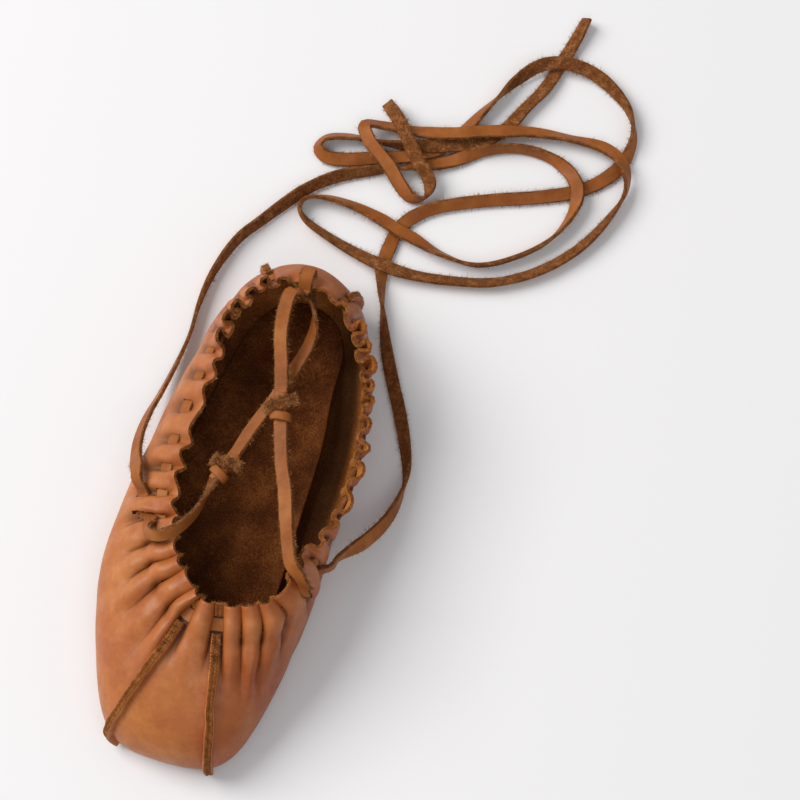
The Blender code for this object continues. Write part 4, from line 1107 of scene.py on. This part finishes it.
# one strap is threaded through the other: a thick core, a cut end lying crosswise with its flesh side up,
# and a small loop of grain in front of it
def makeKnot(name):
    x, y, z, heading, lean = knots[name]
    turn, tilt = math.radians(heading), math.radians(lean)
    ahead = np.array((math.cos(turn), math.sin(turn), 0.0))
    level = np.array((-ahead[1], ahead[0], 0.0))
    across = level * math.cos(tilt * 0.5) + np.array((0, 0, 1.0)) * math.sin(tilt * 0.5)
    up = np.cross(ahead, across)
    centre = np.array((x, y, z))
    s = np.linspace(-knotReach - 1, knotReach + 1, 23)
    swell = np.exp(-((s / knotLook["swell"]) ** 2))
    core = centre + ahead * s[:, None]
    (wideEnd, wideLess), (thickEnd, thickMore) = knotLook["core"], knotLook["coreThick"]
    coreBand = ovalBand(
        core, across + 0 * core, up + 0 * core, wideEnd - wideLess * swell, thickEnd + thickMore * swell
    )
    bar = np.linspace(-1, 1, 31) * knotLook["bar"] / 2
    barTurn, (barWide, barThick) = math.radians(knotLook["barTurn"]), knotLook["barHalf"]
    aim = across * math.cos(barTurn) - ahead * math.sin(barTurn)
    high = knotLook["barHigh"] - knotLook["barDroop"] * bar**2 + 0.25 * np.sin(bar * 1.1)
    line = centre + aim * bar[:, None] + up * high[:, None] - ahead * knotLook["barBack"]
    along = unit(np.gradient(line, axis=0))
    wide = unit(np.cross(along, up) + 0.12 * np.sin(bar * 0.5)[:, None] * up)
    ragged = 1 + 0.14 * np.sin(bar * 0.9 + 1) + 0.09 * np.sin(bar * 2.3)
    barBand = ovalBand(line, wide, np.cross(along, wide), barWide * ragged, barThick)
    arc = np.linspace(-0.25 * math.pi, 1.25 * math.pi, 27)
    cosArc, sinArc = np.cos(arc)[:, None], np.sin(arc)[:, None]
    loop = centre + ahead * (knotLook["loopAt"] + knotLook["loopLean"] * cosArc)
    loop = loop + across * (knotLook["loopWide"] * cosArc) + up * (knotLook["loopHigh"] * sinArc)
    loopBand = ovalBand(loop, ahead + 0 * loop, unit(across * cosArc + up * sinArc), *knotLook["loopHalf"])
    points, quads, rims, kinds, first = [], [], [], [], 0
    for (p, q, ends), kind in ((coreBand, 0), (barBand, 1), (loopBand, 0)):
        points.append(p)
        quads.append(q + first)
        rims += [rim + first for rim in ends]
        kinds.append(np.full(len(q), kind))
        first += len(p)
    kinds = np.concatenate(kinds + [np.ones(len(rims))])
    points = np.concatenate(points)
    uv = np.stack([points @ ahead, points @ across], 1) * mm
    piece = meshPiece(
        "knot_" + name + "_leather", points, np.concatenate(quads), strapHides, kinds, rims, 60, uv
    )
    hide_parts("knot_" + name)
    # the cut end frays outward, and along itself towards both of its ends
    count, lengths = fuzz["knot"]
    i = chance.integers(0, len(bar), count)
    edge = chance.uniform(-1, 1, (count, 1))
    roots = line[i] + wide[i] * edge * barWide + np.cross(wide[i], along[i]) * 0.85 * (1 - 0.5 * np.abs(edge))
    lie = wide[i] * edge * 1.4 + up * 0.5 + along[i] * (bar[i] / 6)[:, None] ** 3
    lie = unit(lie + chance.normal(0, 0.45, (count, 3)))
    return piece, fibres("knot_" + name + "_fray", roots, lie, chance.uniform(*lengths, count))


knotPieces = {name: makeKnot(name) for name in knots}
print("knots done")

# Raised seams at the toe and heel
seams = {  # rib, lowest v, sideways bow, half width
    "toe_seam_lateral": ("seamLateral", 0.7, -4.5, 2.1),
    "toe_seam_medial": ("seamMedial", 0.7, 0.8, 2.1),
    "heel_seam_lateral": ("heelLateral", 0.75, 0.0, 1.9),
    "heel_seam_medial": ("heelMedial", 0.75, 0.0, 1.9),
}
seamLook = {  # millimetres
    "start": 4.6, "rows": 90,  # below the lace, and rows down to the lowest v
    "stub": (-9.2, -4.3), "stubRows": 12, "stubHigh": 0.7,  # the part above the lace, with less height
    "gap": 0.3, "stubGap": 0.2,
    "rough": (2.2, 0.05), "sway": (7.0, 0.22),  # how often the width and the line wander, and how far
    "rawFaces": range(3, 10),  # faces of the profile that are cut edge
    "hairHigh": 2.75,
}
# two cut edges sewn side by side: across as a share of the half width, height in millimetres
seamProfile = np.array((
    (-1.0, -0.8), (-1.03, 1.1), (-0.98, 2.3), (-0.76, 2.85), (-0.52, 2.95), (-0.24, 2.85), (-0.06, 2.55),
    (0.06, 2.55), (0.24, 2.85), (0.52, 2.95), (0.76, 2.85), (0.98, 2.3), (1.03, 1.1), (1.0, -0.8),
))


# faces of a seam's tube: 1 where the profile is cut edge, 0 where it is grain
def seamKinds(quads):
    return np.where(np.isin(np.arange(len(quads)) % len(seamProfile), seamLook["rawFaces"]), 1, 0)


# the profile carried down the side along a bowed line: across along the foot, height along the outward normal
def makeSeam(name):
    rib, end, bow, halfWidth = seams[name]
    phase = phaseOf[rib]
    r0 = float(rOfPhase(phase))
    vStart = float(vOfDrop(np.array([r0]), seamLook["start"])[0])
    v = np.linspace(vStart, end, seamLook["rows"])
    down = (vStart - v) / (vStart - end)
    r = np.full_like(v, r0)
    mmPerR = np.linalg.norm(smoothSurface(r + 0.5, v) - smoothSurface(r - 0.5, v), axis=1)
    r = r + bow * np.sin(math.pi * down**1.5) / mmPerR
    out, _ = directions(r, v)
    path = smoothSurface(r, v)
    at = runOf(path)
    pleat = np.full_like(v, np.interp(phase, wrappedAt, wrappedValleys))
    sunk = gatherSwing(pleat, at + seamLook["start"], pleatWidth(pleat, v))[0] * collarAt(phase, 1)
    ahead = unit(np.gradient(path, axis=0))
    across = unit(np.cross(out, ahead))
    low = shoe["leather"] / 2 + seamLook["gap"] + sunk
    rough = 1 + wander(at, *seamLook["rough"])
    sway = wander(at, *seamLook["sway"])
    a, h = seamProfile.T
    aside = a[None, :] * halfWidth * rough[:, None] + sway[:, None]
    high = low[:, None] + h[None, :] * (0.94 + 0.06 * rough[:, None])
    rings = path[:, None] + across[:, None] * aside[..., None] + out[:, None] * high[..., None]
    faces, rims = tubeFaces(len(v), len(a))
    kinds = np.concatenate([seamKinds(faces), [1, 1]])
    points, rims = rings.reshape(-1, 3), list(rims)
    if rib.startswith("seam"):  # the sewn edges show again above the lace
        rows = seamLook["stubRows"]
        r = np.full(rows, r0)
        v = vOfDrop(r, np.linspace(*seamLook["stub"], rows))
        outTop, riseTop = directions(r, v)
        sink = collarAt(phase, 1) - shoe["leather"] / 2 - seamLook["stubGap"]
        place = smoothSurface(r, v) - outTop * sink
        acrossTop = unit(np.cross(outTop, -riseTop))
        stub = place[:, None] + acrossTop[:, None] * (a[None, :, None] * halfWidth)
        stub = stub + outTop[:, None] * (h * seamLook["stubHigh"])[None, :, None]
        more, ends = tubeFaces(rows, len(a))
        kinds = np.concatenate([kinds[:-2], seamKinds(more), np.ones(4)])
        rims += [rim + len(points) for rim in ends]
        faces = np.concatenate([faces, more + len(points)])
        points = np.concatenate([points, stub.reshape(-1, 3)])
    piece = meshPiece(name + "_edges", points, faces, (waxedCowhide, rawEdge), kinds, rims, 50)
    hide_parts(name)
    perMm, lengths = fuzz["seam"]
    count = int(at[-1] * perMm)
    i = chance.integers(0, len(v), count)  # a toe seam's fibres stand on its first rows, near the lace
    side = chance.uniform(-0.95, 0.95, (count, 1)) * halfWidth
    foot = (low[i] + seamLook["hairHigh"])[:, None]
    roots = path[i] + across[i] * (side + sway[i][:, None]) + out[i] * foot
    aim = unit(out[i] * 0.8 + across[i] * side * 0.4 + chance.normal(0, 0.5, (count, 3)))
    fibres(name + "_fuzz", roots, aim, chance.uniform(*lengths, count))


for name in seams:
    makeSeam(name)
print("seams done")


# fibres between the two faces of the collar's raw edge, leaning out on the side where they stand
def collarFuzz():
    count, lengths = fuzz["collar"]
    j = chance.integers(0, columns, count)
    mix = chance.random((count, 1))
    roots = wallOuter[0, j] * mix + wallInner[0, j] * (1 - mix)
    rise = unit(middle[0, j] - middle[2, j])
    aim = unit(rise * 0.7 + normal[0, j] * (mix * 2 - 1.2) * 0.8 + chance.normal(0, 0.5, (count, 3)))
    fibres("collar_fuzz", roots, aim, chance.uniform(*lengths, count))


collarFuzz()

# Free straps: the line of each in metres, from the middle of the box
toRow = np.array(shoe["middle"])
exits = {
    "heel_strap": ("knot", ("lateral", "medial")),
    "tie_lateral": ("bare", ()),
    "tie_medial": ("bare", ()),
}
for name, (farEnd, withKnots) in exits.items():
    line = (strapPaths[name] - toRow) * mm

# Floor, light and camera
stage = {
    "floor": "#ebebec",
    "size": 8.0,  # metres
    "drop": 0.3,  # millimetres below the sole, so that the two don't share a plane
    "sky": "#fdfdff",
    "world": 0.38,
    # places and sizes in metres, power in watts
    "key": {"place": (-2.50, 0.40, 2.45), "size": 2.4, "power": 122.0, "tint": "#fffcf9"},
    "fill": {"place": (0.7, -1.3, 2.2), "size": 1.8, "power": 13.0, "tint": "#f8faff"},
}


# one large square of matt pale card under the shoe
def makeFloor():
    side, low = stage["size"] / 2 / mm, -stage["drop"]
    corners = np.array(((-side, -side, low), (side, -side, low), (side, side, low), (-side, side, low)))
    material, _, shader = newMaterial("matt_pale_card", Roughness=0.9, Specular_IOR_Level=0.2)
    shader.inputs["Base Color"].default_value = colour(stage["floor"])
    mesh = bpy.data.meshes.new("pale_floor")
    mesh.from_pydata((corners * mm).tolist(), [], [(0, 1, 2, 3)])
    mesh.materials.append(material)
    floor = bpy.data.objects.new("pale_floor", mesh)
    bpy.context.scene.collection.objects.link(floor)


# a square soft light, turned to face the shoe
def makeLight(name):
    look = stage[name]
    light = bpy.data.lights.new(name, "AREA")
    light.size, light.energy, light.color = look["size"], look["power"], colour(look["tint"])[:3]
    lamp = bpy.data.objects.new(name, light)
    lamp.location = look["place"]
    lamp.rotation_euler = (-lamp.location).to_track_quat("-Z", "Y").to_euler()
    bpy.context.scene.collection.objects.link(lamp)


makeFloor()
makeLight("key")
makeLight("fill")
world = bpy.data.worlds.new("soft_room")
world.use_nodes = True
sky = world.node_tree.nodes["Background"]
sky.inputs["Color"].default_value = colour(stage["sky"])
sky.inputs["Strength"].default_value = stage["world"]
bpy.context.scene.world = world
bpy.context.scene.view_settings.view_transform = "Standard"

camera = {  # where the photo was taken from: metres, directions, and the lens in millimetres
    "place": (0.16534, -0.29723, 1.20622),
    "ahead": (-0.0864, 0.2967, -0.9511),
    "right": (0.9601, 0.2797, 0.0),
    "lens": 117.0,
}
ahead = unit(np.array(camera["ahead"]))
right = unit(np.array(camera["right"]) - ahead * np.dot(camera["right"], ahead))
above = np.cross(right, ahead)
lens = bpy.data.cameras.new("photo_camera")
lens.sensor_width, lens.lens = 36, camera["lens"]
eye = bpy.data.objects.new("photo_camera", lens)
pose = np.eye(4)
pose[:3, 0], pose[:3, 1], pose[:3, 2], pose[:3, 3] = right, above, -ahead, camera["place"]
bpy.context.scene.collection.objects.link(eye)
eye.matrix_world = Matrix(pose.tolist())
bpy.context.scene.camera = eye
print("stage and camera set")
